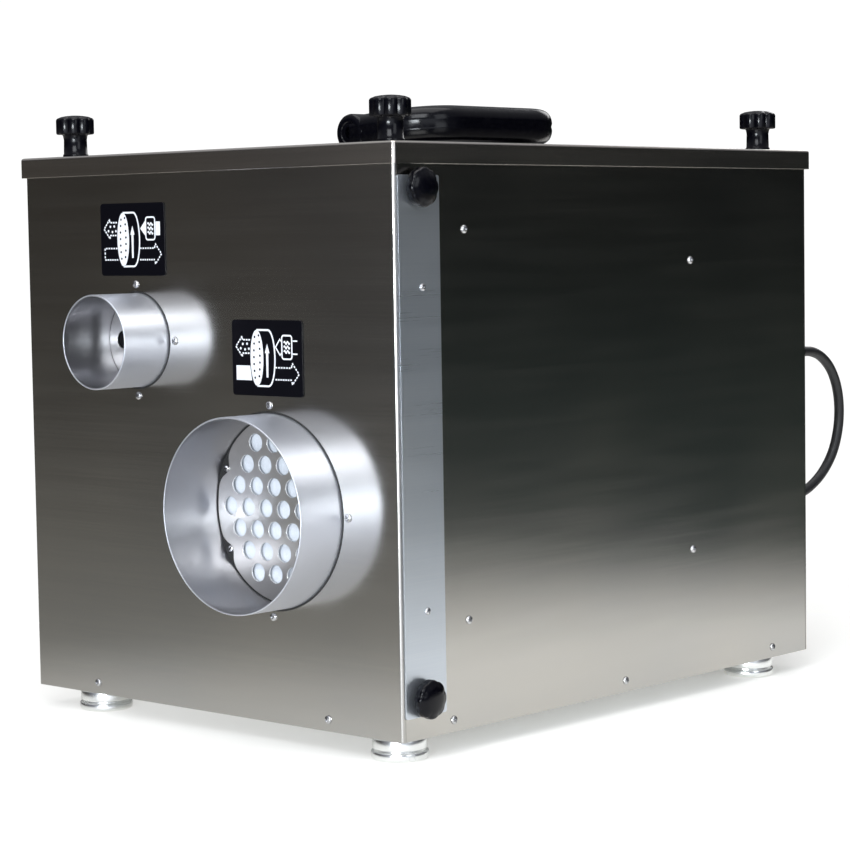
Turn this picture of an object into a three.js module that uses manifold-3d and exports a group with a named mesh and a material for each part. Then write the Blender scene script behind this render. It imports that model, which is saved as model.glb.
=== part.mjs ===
// Portable desiccant dehumidifier: a sheet-steel case with a honeycomb rotor, two fans and a heater.
// Millimetres. +X is the filter hatch's side, -Y is the air inlets' face, +Z is up. Z is 0 at the floor.
import * as THREE from "three";
import { mergeVertices } from "three/addons/utils/BufferGeometryUtils.js";
import Module from "manifold-3d";

const wasm = await Module();
wasm.setup();

// ---- Driving dimensions ----
const lidWidth = 445;
const lidDepth = 566;
const lidSkirt = 17.3;
const caseHeight = 464; // underside of the case to the top of the lid
const footHeight = 18;
const sheet = 1.5;
const play = 0.3; // gap between pieces that touch
const lidClearance = 1.7; // between the lid's skirt and the panels
const bendRadius = 3;
const flangeWidth = 15;

const processDuct = { radius: 79, x: 79.5, z: 190, reach: 46 };
const regenDuct = { radius: 39.5, x: -77.5, z: 325.5, reach: 48.5 };
const dryDuct = { radius: 62, x: 79, z: 112, reach: 46 };
const wetDuct = { radius: 39.5, x: -79, z: 322, reach: 48.5 };
const ductWall = 1.5;
const ductInside = 13; // how far a duct reaches behind the panel's outer face

const lidKnob = { inset: 34.5, radius: 16.5, neckRadius: 11, neckHeight: 20, headHeight: 15, studRadius: 4 };
const hatchKnob = { radius: 15.5, neckRadius: 9, neckHeight: 2.3, headHeight: 8.1, studRadius: 3 };
const knobLobes = 8;
const domeHeight = 2;

const hatch = { front: -277.2, back: -230.2, low: 36, high: 456, knobY: -256, knobLow: 50, knobHigh: 446.4 };
const filterSlot = { front: -263.5, back: -233.5, low: 66, high: 430 };

const handle = { halfLength: 98.7, reach: 92, barRadius: 15.5, cornerRadius: 32.5, hubRadius: 16.5 };
const handleAxisHeight = 17.5; // above the lid
const gripHeight = 24;
const pivotRadius = 5;

const feetLeft = -158;
const feetRight = 193;
const feetFront = -255;
const feetRear = 221;

const rotor = { z: 245, radius: 158.5, halfWidth: 40, hubRadius: 24, shaftRadius: 8 };
const cassetteHalf = 46; // the cassette plates' inner faces
const pulley = { x: -190, z: 52, radius: 12 };

const controls = { x: 140, z: 393, width: 132, height: 96 };
const gland = { x: 185, z: 294, reach: 42 };
const cordRadius = 4.7;

// ---- Derived places ----
const lidTop = footHeight + caseHeight;
const halfX = lidWidth / 2 - sheet - lidClearance;
const halfY = lidDepth / 2 - sheet - lidClearance;
const innerX = halfX - sheet;
const innerY = halfY - sheet;
const gasketSpace = 3;
const panelTop = lidTop - sheet - gasketSpace;
const knobX = lidWidth / 2 - lidKnob.inset;
const knobY = lidDepth / 2 - lidKnob.inset;
const hatchOuter = halfX + play + sheet;
const hatchKnobReach = hatchOuter + play + hatchKnob.neckHeight + hatchKnob.headHeight;
const handleAxisZ = lidTop + handleAxisHeight;
const armY = handle.halfLength - handle.barRadius;
// The hatch knobs stand proud on one side only, so the case sits beside the part's middle plane.
const caseOffset = -(hatchKnobReach + domeHeight - lidWidth / 2) / 2;

// ---- Materials ----
function material(color, roughness, metalness) {
  return new THREE.MeshStandardMaterial({ color, roughness, metalness });
}
const steel = material(0x8f918f, 0.38, 0.9);
const hatchSteel = material(0xa9afb6, 0.35, 0.9);
const ductSteel = material(0xb4b9c0, 0.32, 0.9);
const galvanised = material(0x9aa0a3, 0.5, 0.8);
const polished = material(0xdfe3e6, 0.12, 1);
const blackPlastic = material(0x111214, 0.3, 0);
const blackRubber = material(0x1a1b1d, 0.7, 0);
const grayFoam = material(0x4a4c4e, 0.9, 0);
const blackPlate = material(0x0e1016, 0.35, 0);
const whiteFilter = material(0xe8ebee, 0.95, 0);
const rotorMedium = material(0xb9b4a4, 0.95, 0);
const motorGray = material(0x3c3f42, 0.5, 0.5);
const beltRubber = material(0x202020, 0.8, 0);
const copper = material(0x9c6f52, 0.4, 0.9);

// ---- Solids ----
function toSolid(geometry) {
  const bare = geometry.clone();
  bare.deleteAttribute("normal");
  bare.deleteAttribute("uv");
  const merged = mergeVertices(bare, 1e-4);
  const vertProperties = merged.attributes.position.array;
  const triVerts = new Uint32Array(merged.index.array);
  return new wasm.Manifold(new wasm.Mesh({ numProp: 3, vertProperties, triVerts }));
}

function toGeometry(solid) {
  const mesh = solid.getMesh();
  const geometry = new THREE.BufferGeometry();
  geometry.setAttribute("position", new THREE.BufferAttribute(mesh.vertProperties, 3));
  geometry.setIndex(new THREE.BufferAttribute(mesh.triVerts, 1));
  geometry.computeVertexNormals();
  return geometry;
}

function box(x0, x1, y0, y1, z0, z1) {
  const geometry = new THREE.BoxGeometry(x1 - x0, y1 - y0, z1 - z0);
  geometry.translate((x0 + x1) / 2, (y0 + y1) / 2, (z0 + z1) / 2);
  return toSolid(geometry);
}

// Turns a geometry made about +Y so that its +Y end points along the named direction.
function aim(geometry, direction) {
  if (direction === "-Y") geometry.rotateX(Math.PI);
  if (direction === "+Z") geometry.rotateX(Math.PI / 2);
  if (direction === "+X") geometry.rotateZ(-Math.PI / 2);
  return geometry;
}

// A round bar along "+X", "+Y" or "+Z" from one coordinate to the other; a and b place its axis.
function rod(direction, radius, from, to, a, b, segments = 24) {
  const geometry = aim(new THREE.CylinderGeometry(radius, radius, to - from, segments), direction);
  const middle = (from + to) / 2;
  if (direction === "+X") geometry.translate(middle, a, b);
  if (direction === "+Y") geometry.translate(a, middle, b);
  if (direction === "+Z") geometry.translate(a, b, middle);
  return toSolid(geometry);
}

// A turned piece: [radius, height] pairs from the bottom, outwards and up. A ring's profile closes on itself.
function turned(profile, direction, segments) {
  const points = profile.map(([radius, height]) => new THREE.Vector2(radius, height));
  return aim(new THREE.LatheGeometry(points, segments), direction);
}

function extruded(shape, depth, curveSegments = 2) {
  return new THREE.ExtrudeGeometry(shape, { depth, bevelEnabled: false, steps: 1, curveSegments });
}

// Stands a piece whose outline was drawn in Y and Z so that its depth runs along +X.
function sideways(geometry) {
  return geometry.rotateY(Math.PI / 2).rotateX(Math.PI / 2);
}

function roundedRectangle(halfWidth, halfHeight, radius) {
  const shape = new THREE.Shape();
  const w = halfWidth - radius;
  const h = halfHeight - radius;
  shape.absarc(w, h, radius, 0, Math.PI / 2);
  shape.absarc(-w, h, radius, Math.PI / 2, Math.PI);
  shape.absarc(-w, -h, radius, Math.PI, 1.5 * Math.PI);
  shape.absarc(w, -h, radius, 1.5 * Math.PI, 2 * Math.PI);
  return shape;
}

// ---- The group ----
const dehumidifier = new THREE.Group();
dehumidifier.position.x = caseOffset;

function place(name, shape, look, x = 0, y = 0, z = 0) {
  const geometry = shape.isBufferGeometry ? shape : toGeometry(shape);
  const mesh = new THREE.Mesh(geometry, look);
  mesh.name = name;
  mesh.position.set(x, y, z);
  dehumidifier.add(mesh);
  return mesh;
}

// ---- Case ----
function basePan() {
  const x = innerX - 0.5;
  const y = innerY - 0.5;
  const flangeTop = footHeight + 18;
  let pan = box(-x, x, -y, y, footHeight, flangeTop);
  pan = pan.subtract(box(-x + sheet, x - sheet, -y + sheet, y - sheet, footHeight + sheet, flangeTop + 1));
  for (const fx of [feetLeft, feetRight])
    for (const fy of [feetFront, feetRear])
      pan = pan.subtract(rod("+Z", 4.5, footHeight - 1, footHeight + 3, fx, fy, 12));
  place("base_pan", pan, galvanised);
}

// A face panel for the front, at -Y: its vertical edges are bent round the case's corners,
// and its top is bent in as a flange with a threaded tab for each lid knob.
function facePanel() {
  const bendEnd = -halfY + bendRadius + 0.4;
  const inner = bendRadius - sheet;
  const outline = new THREE.Shape();
  outline.moveTo(-halfX, bendEnd);
  outline.absarc(-halfX + bendRadius, -halfY + bendRadius, bendRadius, Math.PI, 1.5 * Math.PI);
  outline.absarc(halfX - bendRadius, -halfY + bendRadius, bendRadius, 1.5 * Math.PI, 2 * Math.PI);
  outline.lineTo(halfX, bendEnd);
  outline.lineTo(innerX, bendEnd);
  outline.absarc(halfX - bendRadius, -halfY + bendRadius, inner, 2 * Math.PI, 1.5 * Math.PI, true);
  outline.absarc(-halfX + bendRadius, -halfY + bendRadius, inner, 1.5 * Math.PI, Math.PI, true);
  outline.lineTo(-innerX, bendEnd);
  let panel = toSolid(extruded(outline, panelTop - footHeight).translate(0, 0, footHeight));
  const flangeX = halfX - bendRadius;
  panel = panel.add(box(-flangeX, flangeX, -halfY + 1, -innerY + flangeWidth, panelTop - sheet, panelTop));
  const tab = 43;
  for (const side of [-1, 1]) {
    const x = [side * flangeX, side * (flangeX - tab)].sort((a, b) => a - b);
    panel = panel.add(box(x[0], x[1], -halfY + 1, -innerY + tab, panelTop - sheet, panelTop));
    panel = panel.subtract(rod("+Z", 4.6, panelTop - 5, panelTop + 5, side * knobX, -knobY, 16));
  }
  return panel;
}

function ductHole(duct, y) {
  return rod("+Y", duct.radius + 1.8, y - 5, y + 5, duct.x, duct.z, 28);
}

function frontPanel() {
  const panel = facePanel().subtract(ductHole(processDuct, -halfY)).subtract(ductHole(regenDuct, -halfY));
  place("front_panel", panel, steel);
}

function rearPanel() {
  let panel = facePanel().rotate([0, 0, 180]);
  panel = panel.subtract(ductHole(dryDuct, halfY)).subtract(ductHole(wetDuct, halfY));
  panel = panel.subtract(rod("+Y", 8.5, halfY - 5, halfY + 5, gland.x, gland.z, 16));
  const w = controls.width / 2 - 8;
  const h = controls.height / 2 - 8;
  const { x, z } = controls;
  panel = panel.subtract(box(x - w, x + w, halfY - 5, halfY + 5, z - h, z + h));
  place("rear_panel", panel, steel);
}

function sidePanel() {
  const y = halfY - bendRadius - 0.4 - play;
  const flangeY = 232;
  const panel = box(innerX, halfX, -y, y, footHeight, panelTop);
  return panel.add(box(innerX - flangeWidth, halfX - 0.5, -flangeY, flangeY, panelTop - sheet, panelTop));
}

function sidePanels() {
  const slot = filterSlot;
  let right = sidePanel().subtract(box(innerX - 5, halfX + 5, slot.front, slot.back, slot.low, slot.high));
  for (const z of [hatch.knobLow, hatch.knobHigh])
    right = right.subtract(rod("+X", 3.6, innerX - 5, halfX + 5, hatch.knobY, z, 12));
  place("right_panel", right, steel);
  place("left_panel", sidePanel().rotate([0, 0, 180]), steel);
}

function lid() {
  const outer = extruded(roundedRectangle(lidWidth / 2, lidDepth / 2, bendRadius), lidSkirt);
  let cover = toSolid(outer.translate(0, 0, lidTop - lidSkirt));
  const x = lidWidth / 2 - sheet;
  const y = lidDepth / 2 - sheet;
  cover = cover.subtract(box(-x, x, -y, y, lidTop - lidSkirt - 1, lidTop - sheet));
  for (const sx of [-1, 1])
    for (const sy of [-1, 1])
      cover = cover.subtract(rod("+Z", 4.6, lidTop - 5, lidTop + 5, sx * knobX, sy * knobY, 16));
  place("lid", cover, steel);
}

function lidGasket() {
  const x = halfX - 3;
  const y = halfY - 3;
  const width = 10;
  const low = panelTop + play;
  const high = lidTop - sheet - play;
  const ring = box(-x, x, -y, y, low, high);
  const hole = box(-x + width, x - width, -y + width, y - width, low - 1, high + 1);
  place("lid_gasket", ring.subtract(hole), grayFoam);
}

// ---- Knobs ----
// A lobed hand knob on +Z: neck, bevelled head, low dome, and a stud below z = 0.
function starKnob(knob, studLength) {
  const points = [];
  const depth = 1.6;
  const perLobe = 3;
  for (let i = 0; i < knobLobes * perLobe; i++) {
    const angle = (2 * Math.PI * i) / (knobLobes * perLobe);
    const radius = knob.radius - depth * (0.5 - 0.5 * Math.cos(knobLobes * angle));
    points.push(new THREE.Vector2(radius * Math.cos(angle), radius * Math.sin(angle)));
  }
  const head = toSolid(extruded(new THREE.Shape(points), knob.headHeight));
  const headTop = knob.neckHeight + knob.headHeight;
  const dome = toSolid(turned([[0, 0], [knob.radius - 4, 0], [knob.radius - 7, domeHeight], [0, domeHeight]], "+Z", 12));
  return head
    .translate([0, 0, knob.neckHeight])
    .add(dome.translate([0, 0, headTop]))
    .add(rod("+Z", knob.neckRadius, 0, knob.neckHeight + 1, 0, 0, 12))
    .add(rod("+Z", knob.studRadius, -studLength, 1, 0, 0, 8));
}

function lidKnobs() {
  const corners = { front_left: [-1, -1], front_right: [1, -1], rear_left: [-1, 1], rear_right: [1, 1] };
  for (const [corner, [sx, sy]] of Object.entries(corners)) {
    const knob = toGeometry(starKnob(lidKnob, 24));
    place(`lid_knob_${corner}`, knob, blackPlastic, sx * knobX, sy * knobY, lidTop + play);
  }
}

function hatchKnobs() {
  for (const [name, z] of [["hatch_knob_lower", hatch.knobLow], ["hatch_knob_upper", hatch.knobHigh]]) {
    const knob = toGeometry(starKnob(hatchKnob, 12)).rotateY(Math.PI / 2);
    place(name, knob, blackPlastic, hatchOuter + play, hatch.knobY, z);
  }
}

// ---- Carrying handle ----
class HandleBar extends THREE.Curve {
  // Out along the front arm, round two quarter bends joined by the grip, and back along the rear arm.
  getPoint(t, target = new THREE.Vector3()) {
    const r = handle.cornerRadius;
    const gripX = handle.reach - handle.barRadius;
    const arm = gripX - r;
    const grip = 2 * (armY - r);
    const bend = (Math.PI / 2) * r;
    const s = t * (2 * arm + 2 * bend + grip);
    const half = s > arm + bend + grip / 2 ? -1 : 1;
    const d = half > 0 ? s : 2 * (arm + bend) + grip - s;
    let x = d;
    let y = -armY;
    if (d > arm + bend) {
      x = gripX;
      y = -armY + r + (d - arm - bend);
    } else if (d > arm) {
      const angle = (d - arm) / r;
      x = arm + r * Math.sin(angle);
      y = -armY + r * (1 - Math.cos(angle));
    }
    const rise = (gripHeight - handleAxisHeight) * Math.min(1, Math.max(0, x / gripX));
    return target.set(x, half * y, rise);
  }
}

function carryHandle() {
  const section = new THREE.Shape();
  section.absarc(0, 0, handle.barRadius, 0, 2 * Math.PI);
  const bar = new THREE.ExtrudeGeometry(section, {
    steps: 24,
    curveSegments: 5,
    extrudePath: new HandleBar(),
  });
  let grip = toSolid(bar);
  const inner = handle.halfLength - 2 * handle.barRadius;
  for (const side of [-1, 1]) {
    const ends = [side * inner, side * handle.halfLength].sort((a, b) => a - b);
    const bore = [side * (inner - 1), side * (handle.halfLength - 5.5)].sort((a, b) => a - b);
    grip = grip.add(rod("+Y", handle.hubRadius, ends[0], ends[1], 0, 0, 16));
    grip = grip.subtract(rod("+Y", pivotRadius + 0.4, bore[0], bore[1], 0, 0, 10));
  }
  place("carry_handle", grip, blackPlastic, 0, 0, handleAxisZ);
}

function handleBrackets() {
  const face = handle.halfLength - 2 * handle.barRadius - 0.4;
  const base = -handleAxisHeight + play;
  const lug = 12;
  const bracket = box(-lug, lug, -face, -face + 8, base, 0)
    .add(rod("+Y", lug, -face, -face + 8, 0, 0, 16))
    .add(box(-18, 18, -face, -face + 26, base, base + 3))
    .add(rod("+Y", pivotRadius, -face - 24, -face + 1, 0, 0, 10));
  place("handle_bracket_front", bracket, blackPlastic, 0, 0, handleAxisZ);
  place("handle_bracket_rear", bracket.rotate([0, 0, 180]), blackPlastic, 0, 0, handleAxisZ);
}

// ---- Filter and its hatch ----
function filterHatch() {
  const shape = roundedRectangle((hatch.back - hatch.front) / 2, (hatch.high - hatch.low) / 2, 2);
  const y = (hatch.front + hatch.back) / 2;
  const z = (hatch.low + hatch.high) / 2;
  let strip = toSolid(sideways(extruded(shape, sheet, 2)).translate(halfX + play, y, z));
  for (const knobZ of [hatch.knobLow, hatch.knobHigh])
    strip = strip.subtract(rod("+X", 3.6, halfX - 5, halfX + 5, hatch.knobY, knobZ, 12));
  place("filter_hatch", strip, hatchSteel);
}

const filterBody = {
  x0: -204,
  x1: halfX,
  y0: filterSlot.front + 1.2,
  y1: filterSlot.back - 1.2,
  z0: filterSlot.low + 1.2,
  z1: filterSlot.high - 1.2,
  border: 18,
};

function filterFrame() {
  const f = filterBody;
  const b = f.border;
  const outer = box(f.x0, f.x1, f.y0, f.y1, f.z0, f.z1);
  const opening = box(f.x0 + b, f.x1 - b, f.y0 - 1, f.y1 + 1, f.z0 + b, f.z1 - b);
  place("filter_frame", outer.subtract(opening), galvanised);
}

// A fleece pad that fills the frame's opening.
function filterMedium() {
  const f = filterBody;
  const inset = f.border + play;
  const pad = box(f.x0 + inset, f.x1 - inset, f.y0 + 0.5, f.y1 - 3, f.z0 + inset, f.z1 - inset);
  place("filter_medium", pad, whiteFilter);
}

function filterRails() {
  const f = filterBody;
  const wall = 1.2;
  const y0 = f.y0 - 0.6 - wall;
  const y1 = f.y1 + 0.6 + wall;
  const lip = 9;
  for (const [name, edge, out] of [["filter_rail_lower", f.z0, -1], ["filter_rail_upper", f.z1, 1]]) {
    const zs = [edge + out * play, edge + out * (play + wall), edge - out * lip].sort((a, b) => a - b);
    const inside = [edge + out * play, edge - out * (lip + 1)].sort((a, b) => a - b);
    const channel = box(f.x0 - 3, innerX - 2.6, y0, y1, zs[0], zs[2]);
    place(name, channel.subtract(box(f.x0 - 4, innerX, y0 + wall, y1 - wall, inside[0], inside[1])), galvanised);
  }
}

// ---- Ducts ----
// A spigot on the named face: tube through the panel's hole, with a flange against the panel's inside.
function ductSpigot(name, duct, direction, segments, innerLip) {
  const outside = duct.reach;
  const r = duct.radius;
  const bore = r - ductWall;
  const flange = [-sheet - play, -2 * sheet - play];
  const profile = [
    [bore - innerLip, -ductInside],
    [r, -ductInside],
    [r, flange[1]],
    [r + 13, flange[1]],
    [r + 13, flange[0]],
    [r, flange[0]],
    [r, outside],
    [bore, outside],
  ];
  if (innerLip) profile.push([bore, -ductInside + ductWall], [bore - innerLip, -ductInside + ductWall]);
  profile.push(profile[0]);
  const face = direction === "-Y" ? -halfY : halfY;
  place(name, turned(profile, direction, segments), ductSteel, duct.x, face, duct.z);
}

// Hole centres of the perforated plate: rows staggered by half a pitch, kept inside a circle.
function perforation(pitch, limit) {
  const centres = [];
  const rowStep = (pitch * Math.sqrt(3)) / 2;
  const rows = Math.floor(limit / rowStep);
  for (let row = -rows; row <= rows; row++) {
    const shift = row % 2 ? pitch / 2 : 0;
    const count = Math.ceil(limit / pitch);
    for (let i = -count; i <= count; i++) {
      const x = i * pitch + shift;
      const z = row * rowStep;
      if (Math.hypot(x, z) <= limit) centres.push([x, z]);
    }
  }
  return centres;
}

// Corner points of a regular polygon that stands in for a circle.
function ringPoints(x, z, radius, sides) {
  const points = [];
  for (let i = 0; i < sides; i++) {
    const angle = (2 * Math.PI * i) / sides;
    points.push(new THREE.Vector2(x + radius * Math.cos(angle), z + radius * Math.sin(angle)));
  }
  return points;
}

function perforatedPlate() {
  const shape = new THREE.Shape(ringPoints(0, 0, processDuct.radius - 0.5, 24));
  for (const [x, z] of perforation(20.5, 66)) shape.holes.push(new THREE.Path(ringPoints(x, z, 7.5, 6)));
  const plate = extruded(shape, sheet).rotateX(Math.PI / 2);
  const y = -halfY + ductInside + 0.4 + sheet;
  place("inlet_perforated_plate", plate, galvanised, processDuct.x, y, processDuct.z);
}

function pictogramPlates() {
  const plate = extruded(roundedRectangle(40, 30.5, 3), 0.8, 2).rotateX(Math.PI / 2);
  for (const [name, x, z] of [["pictogram_plate_upper", -79.5, 410], ["pictogram_plate_lower", 79, 313.5]])
    place(name, plate.clone(), blackPlate, x, -halfY - play, z);
}

// ---- Feet ----
function feet() {
  const top = footHeight - play;
  const profile = [
    [0, 0],
    [21, 0],
    [23, 2],
    [23, 6.5],
    [20.5, 7],
    [20.5, 8],
    [22, 8.5],
    [22, top],
    [4, top],
    [4, top + 10],
    [0, top + 10],
  ];
  const places = {
    front_left: [feetLeft, feetFront],
    front_right: [feetRight, feetFront],
    rear_left: [feetLeft, feetRear],
    rear_right: [feetRight, feetRear],
  };
  for (const [corner, [x, y]] of Object.entries(places))
    place(`foot_${corner}`, turned(profile, "+Z", 16), polished, x, y, 0);
}

// ---- Rear controls ----
const switchAt = { x: controls.x - 42, z: controls.z + 18 };
const meterAt = { x: controls.x + 28, z: controls.z + 18 };
const dialAt = { x: controls.x + 28, z: controls.z - 22 };
const plateBack = halfY + play;
const plateFront = plateBack + 1.5;

function controlPlate() {
  const shape = extruded(roundedRectangle(controls.width / 2, controls.height / 2, 4), plateFront - plateBack, 2);
  let plate = toSolid(shape.rotateX(Math.PI / 2).translate(controls.x, plateFront, controls.z));
  const cut = (at, w, h) => box(at.x - w, at.x + w, plateBack - 5, plateFront + 5, at.z - h, at.z + h);
  plate = plate.subtract(cut(switchAt, 11.4, 15.4)).subtract(cut(meterAt, 22.9, 12.4));
  plate = plate.subtract(rod("+Y", 4, plateBack - 5, plateFront + 5, dialAt.x, dialAt.z, 12));
  place("control_plate", plate, blackPlate);
}

function mainSwitch() {
  const { x, z } = switchAt;
  const bezelFront = plateFront + play + 2.2;
  const bezel = box(x - 14, x + 14, plateFront + play, bezelFront, z - 18, z + 18);
  const body = box(x - 11, x + 11, plateBack - 22, bezelFront - 1, z - 15, z + 15);
  const pocket = box(x - 8.5, x + 8.5, plateFront - 7, bezelFront + 5, z - 12.5, z + 12.5);
  place("main_switch_housing", bezel.add(body).subtract(pocket), blackPlastic);
  const side = new THREE.Shape([
    new THREE.Vector2(-11.5, -3),
    new THREE.Vector2(11.5, -3),
    new THREE.Vector2(11.5, 1.5),
    new THREE.Vector2(4, 3),
    new THREE.Vector2(-4, 3),
    new THREE.Vector2(-11.5, 1.5),
  ]);
  const rocker = extruded(side, 16).translate(0, 0, -8).rotateY(Math.PI / 2);
  const mesh = place("main_switch_rocker", rocker, blackPlastic, x, plateFront + 0.6, z);
  mesh.rotation.x = THREE.MathUtils.degToRad(-8);
}

function hourMeter() {
  const { x, z } = meterAt;
  const bezel = box(x - 25, x + 25, plateFront + play, plateFront + play + 2, z - 14.5, z + 14.5);
  const body = box(x - 22.5, x + 22.5, plateBack - 20, plateFront + 1, z - 12, z + 12);
  place("hour_meter", bezel.add(body), blackPlastic);
}

function humidityDial() {
  const { x, z } = dialAt;
  const knob = toSolid(turned([[0, 0], [15, 0], [14, 11], [12.5, 12.5], [0, 12.5]], "+Y", 18));
  const pointer = box(-1.2, 1.2, 5, 13.3, 2, 13);
  const shaft = rod("+Y", 3, -18, 1, 0, 0, 10);
  place("humidity_dial", knob.add(pointer).add(shaft), blackPlastic, x, plateFront + play, z);
}

function electricalBox() {
  const x0 = 82;
  const x1 = 210;
  const z0 = 272;
  const z1 = 450;
  const y0 = 222;
  const y1 = innerY - 0.8;
  const wall = 2;
  const tray = box(x0, x1, y0, y1, z0, z1);
  place("electrical_box", tray.subtract(box(x0 + wall, x1 - wall, y0 + wall, y1 + 1, z0 + wall, z1 - wall)), galvanised);
}

// ---- Rotor ----
// A cassette plate with a round opening that a bar crosses; the bar carries the rotor's shaft.
function cassettePlate(inner, outer) {
  const halfWidth = 215;
  const openingRadius = 150;
  const barHalf = 14;
  const low = Math.min(inner, outer);
  const high = Math.max(inner, outer);
  const bar = box(-halfWidth, halfWidth, low - 2, high + 2, rotor.z - barHalf, rotor.z + barHalf);
  const opening = rod("+Y", openingRadius, low - 1, high + 1, 0, rotor.z, 32).subtract(bar);
  return box(-halfWidth, halfWidth, low, high, footHeight + sheet + play, panelTop - 7)
    .subtract(opening)
    .subtract(rod("+Y", rotor.shaftRadius + 0.3, low - 1, high + 1, 0, rotor.z, 14));
}

// The duct over the rotor's regeneration sector: a square tube with a quarter-round mouth at the rotor.
const sectorDuct = { x0: -150, x1: -6, z0: rotor.z + 14.5, z1: rotor.z + 152 };

function sectorTube(mouth, end) {
  const { x0, x1, z0, z1 } = sectorDuct;
  const low = Math.min(mouth, end);
  const high = Math.max(mouth, end);
  const tube = box(x0, x1, low, high, z0, z1);
  return tube.subtract(box(x0 + sheet, x1 - sheet, low - 1, high + 1, z0 + sheet, z1 - sheet));
}

function rotorCassette() {
  const front = cassettePlate(-cassetteHalf, -cassetteHalf - sheet);
  const shaftHole = rod("+Y", 6, -cassetteHalf - 5, -cassetteHalf + 5, pulley.x, pulley.z, 12);
  place("rotor_cassette_front", front.subtract(shaftHole), galvanised);
  const hoodEnd = cassetteHalf + 58;
  const { x0, x1, z0, z1 } = sectorDuct;
  const hoodBack = box(x0, x1, hoodEnd - sheet, hoodEnd, z0, z1);
  const rear = cassettePlate(cassetteHalf, cassetteHalf + sheet)
    .add(sectorTube(cassetteHalf + 0.5, hoodEnd))
    .add(hoodBack)
    .subtract(rod("+Y", 26, hoodEnd - 5, hoodEnd + 5, x0 + 34, z1 - 60, 20));
  place("rotor_cassette_rear", rear, galvanised);
}

function rotorPieces() {
  const { z, radius, halfWidth, hubRadius, shaftRadius } = rotor;
  place("rotor_shaft", rod("+Y", shaftRadius, -56, 56, 0, z, 14), polished);
  const ring = (inner, outer, half, segments) =>
    turned([[inner, -half], [outer, -half], [outer, half], [inner, half], [inner, -half]], "+Y", segments);
  place("rotor_hub", ring(shaftRadius + 0.4, hubRadius, halfWidth + 2, 18), galvanised, 0, 0, z);
  place("rotor_medium", ring(hubRadius + play, radius - 2.8, halfWidth, 32), rotorMedium, 0, 0, z);
  place("rotor_rim", ring(radius - 2.5, radius, halfWidth + 2, 32), galvanised, 0, 0, z);
}

// The outline of a belt round the rotor and the pulley, standing off both by the same gap.
function beltOutline(gap) {
  const big = rotor.radius + gap;
  const small = pulley.radius + gap;
  const dx = pulley.x;
  const dz = pulley.z - rotor.z;
  const distance = Math.hypot(dx, dz);
  const bearing = Math.atan2(dz, dx);
  const lean = Math.acos((big - small) / distance);
  const points = [];
  const arc = (cx, cz, r, from, to, steps) => {
    for (let i = 0; i <= steps; i++) {
      const angle = from + ((to - from) * i) / steps;
      points.push(new THREE.Vector2(cx + r * Math.cos(angle), cz + r * Math.sin(angle)));
    }
  };
  arc(0, 0, big, bearing + lean, bearing - lean + 2 * Math.PI, 36);
  arc(dx, dz, small, bearing - lean, bearing + lean, 5);
  return points;
}

function rotorDrive() {
  const beltHalf = 4;
  const belt = new THREE.Shape(beltOutline(1.7));
  belt.holes.push(new THREE.Path(beltOutline(0.4)));
  const loop = extruded(belt, 2 * beltHalf).rotateX(Math.PI / 2);
  place("drive_belt", loop, beltRubber, 0, beltHalf, rotor.z);
  const plateFace = -cassetteHalf - sheet - play;
  const wheel = rod("+Y", pulley.radius, -6, 6, 0, 0, 14);
  const shaft = rod("+Y", 3, plateFace + 0.4, 0, 0, 0, 10);
  place("motor_pulley", wheel.add(shaft), polished, pulley.x, 0, pulley.z);
  const gearbox = box(-24, 24, plateFace - 14, plateFace, -24, 24);
  const motor = rod("+Y", 21, plateFace - 62, plateFace - 13, 0, 0, 16);
  place("gear_motor", gearbox.add(motor), motorGray, pulley.x, 0, pulley.z);
}

// ---- Regeneration heater ----
function heaterHousing() {
  const mouth = -cassetteHalf - sheet - play;
  const end = filterSlot.back + 4;
  const { x0, x1, z0, z1 } = sectorDuct;
  const plate = box(x0, x1, mouth - sheet, mouth, z0, z1);
  const wedge = rod("+Y", 140, mouth - 5, mouth + 5, 0, rotor.z, 32);
  const quarter = wedge.intersect(box(x0 + 6, x1 - 6, mouth - 5, mouth + 5, z0 + 6, z1 - 6));
  place("heater_housing", sectorTube(mouth, end).add(plate.subtract(quarter)), galvanised);
}

function heaterElement() {
  const passes = 4;
  const half = 52;
  const spacing = 26;
  const points = [];
  for (let i = 0; i < passes; i++) {
    const way = i % 2 ? -1 : 1;
    const z = (i - (passes - 1) / 2) * spacing;
    points.push(new THREE.Vector3(-way * half, 0, z));
    points.push(new THREE.Vector3(0, 0, z));
    points.push(new THREE.Vector3(way * half, 0, z));
    if (i < passes - 1) points.push(new THREE.Vector3(way * (half + spacing / 2), 0, z + spacing / 2));
  }
  const section = new THREE.Shape();
  section.absarc(0, 0, 4, 0, 2 * Math.PI);
  const path = new THREE.CatmullRomCurve3(points);
  const tube = new THREE.ExtrudeGeometry(section, { steps: 40, curveSegments: 3, extrudePath: path });
  const middleZ = (sectorDuct.z0 + sectorDuct.z1) / 2;
  place("heater_element", tube, copper, (sectorDuct.x0 + sectorDuct.x1) / 2, -150, middleZ);
}

// ---- Fans ----
const processFan = {
  name: "process", x0: 24, x1: 134, y: 165, z: 150, start: 88, end: 102,
  impeller: 78, blades: 8, motorRadius: 42, motorLength: 58,
};
const regenFan = {
  name: "regen", x0: -109, x1: -49, y: 175, z: 350, start: 54, end: 66,
  impeller: 47, blades: 8, motorRadius: 27, motorLength: 40,
};
const scrollEnd = 266;

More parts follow.
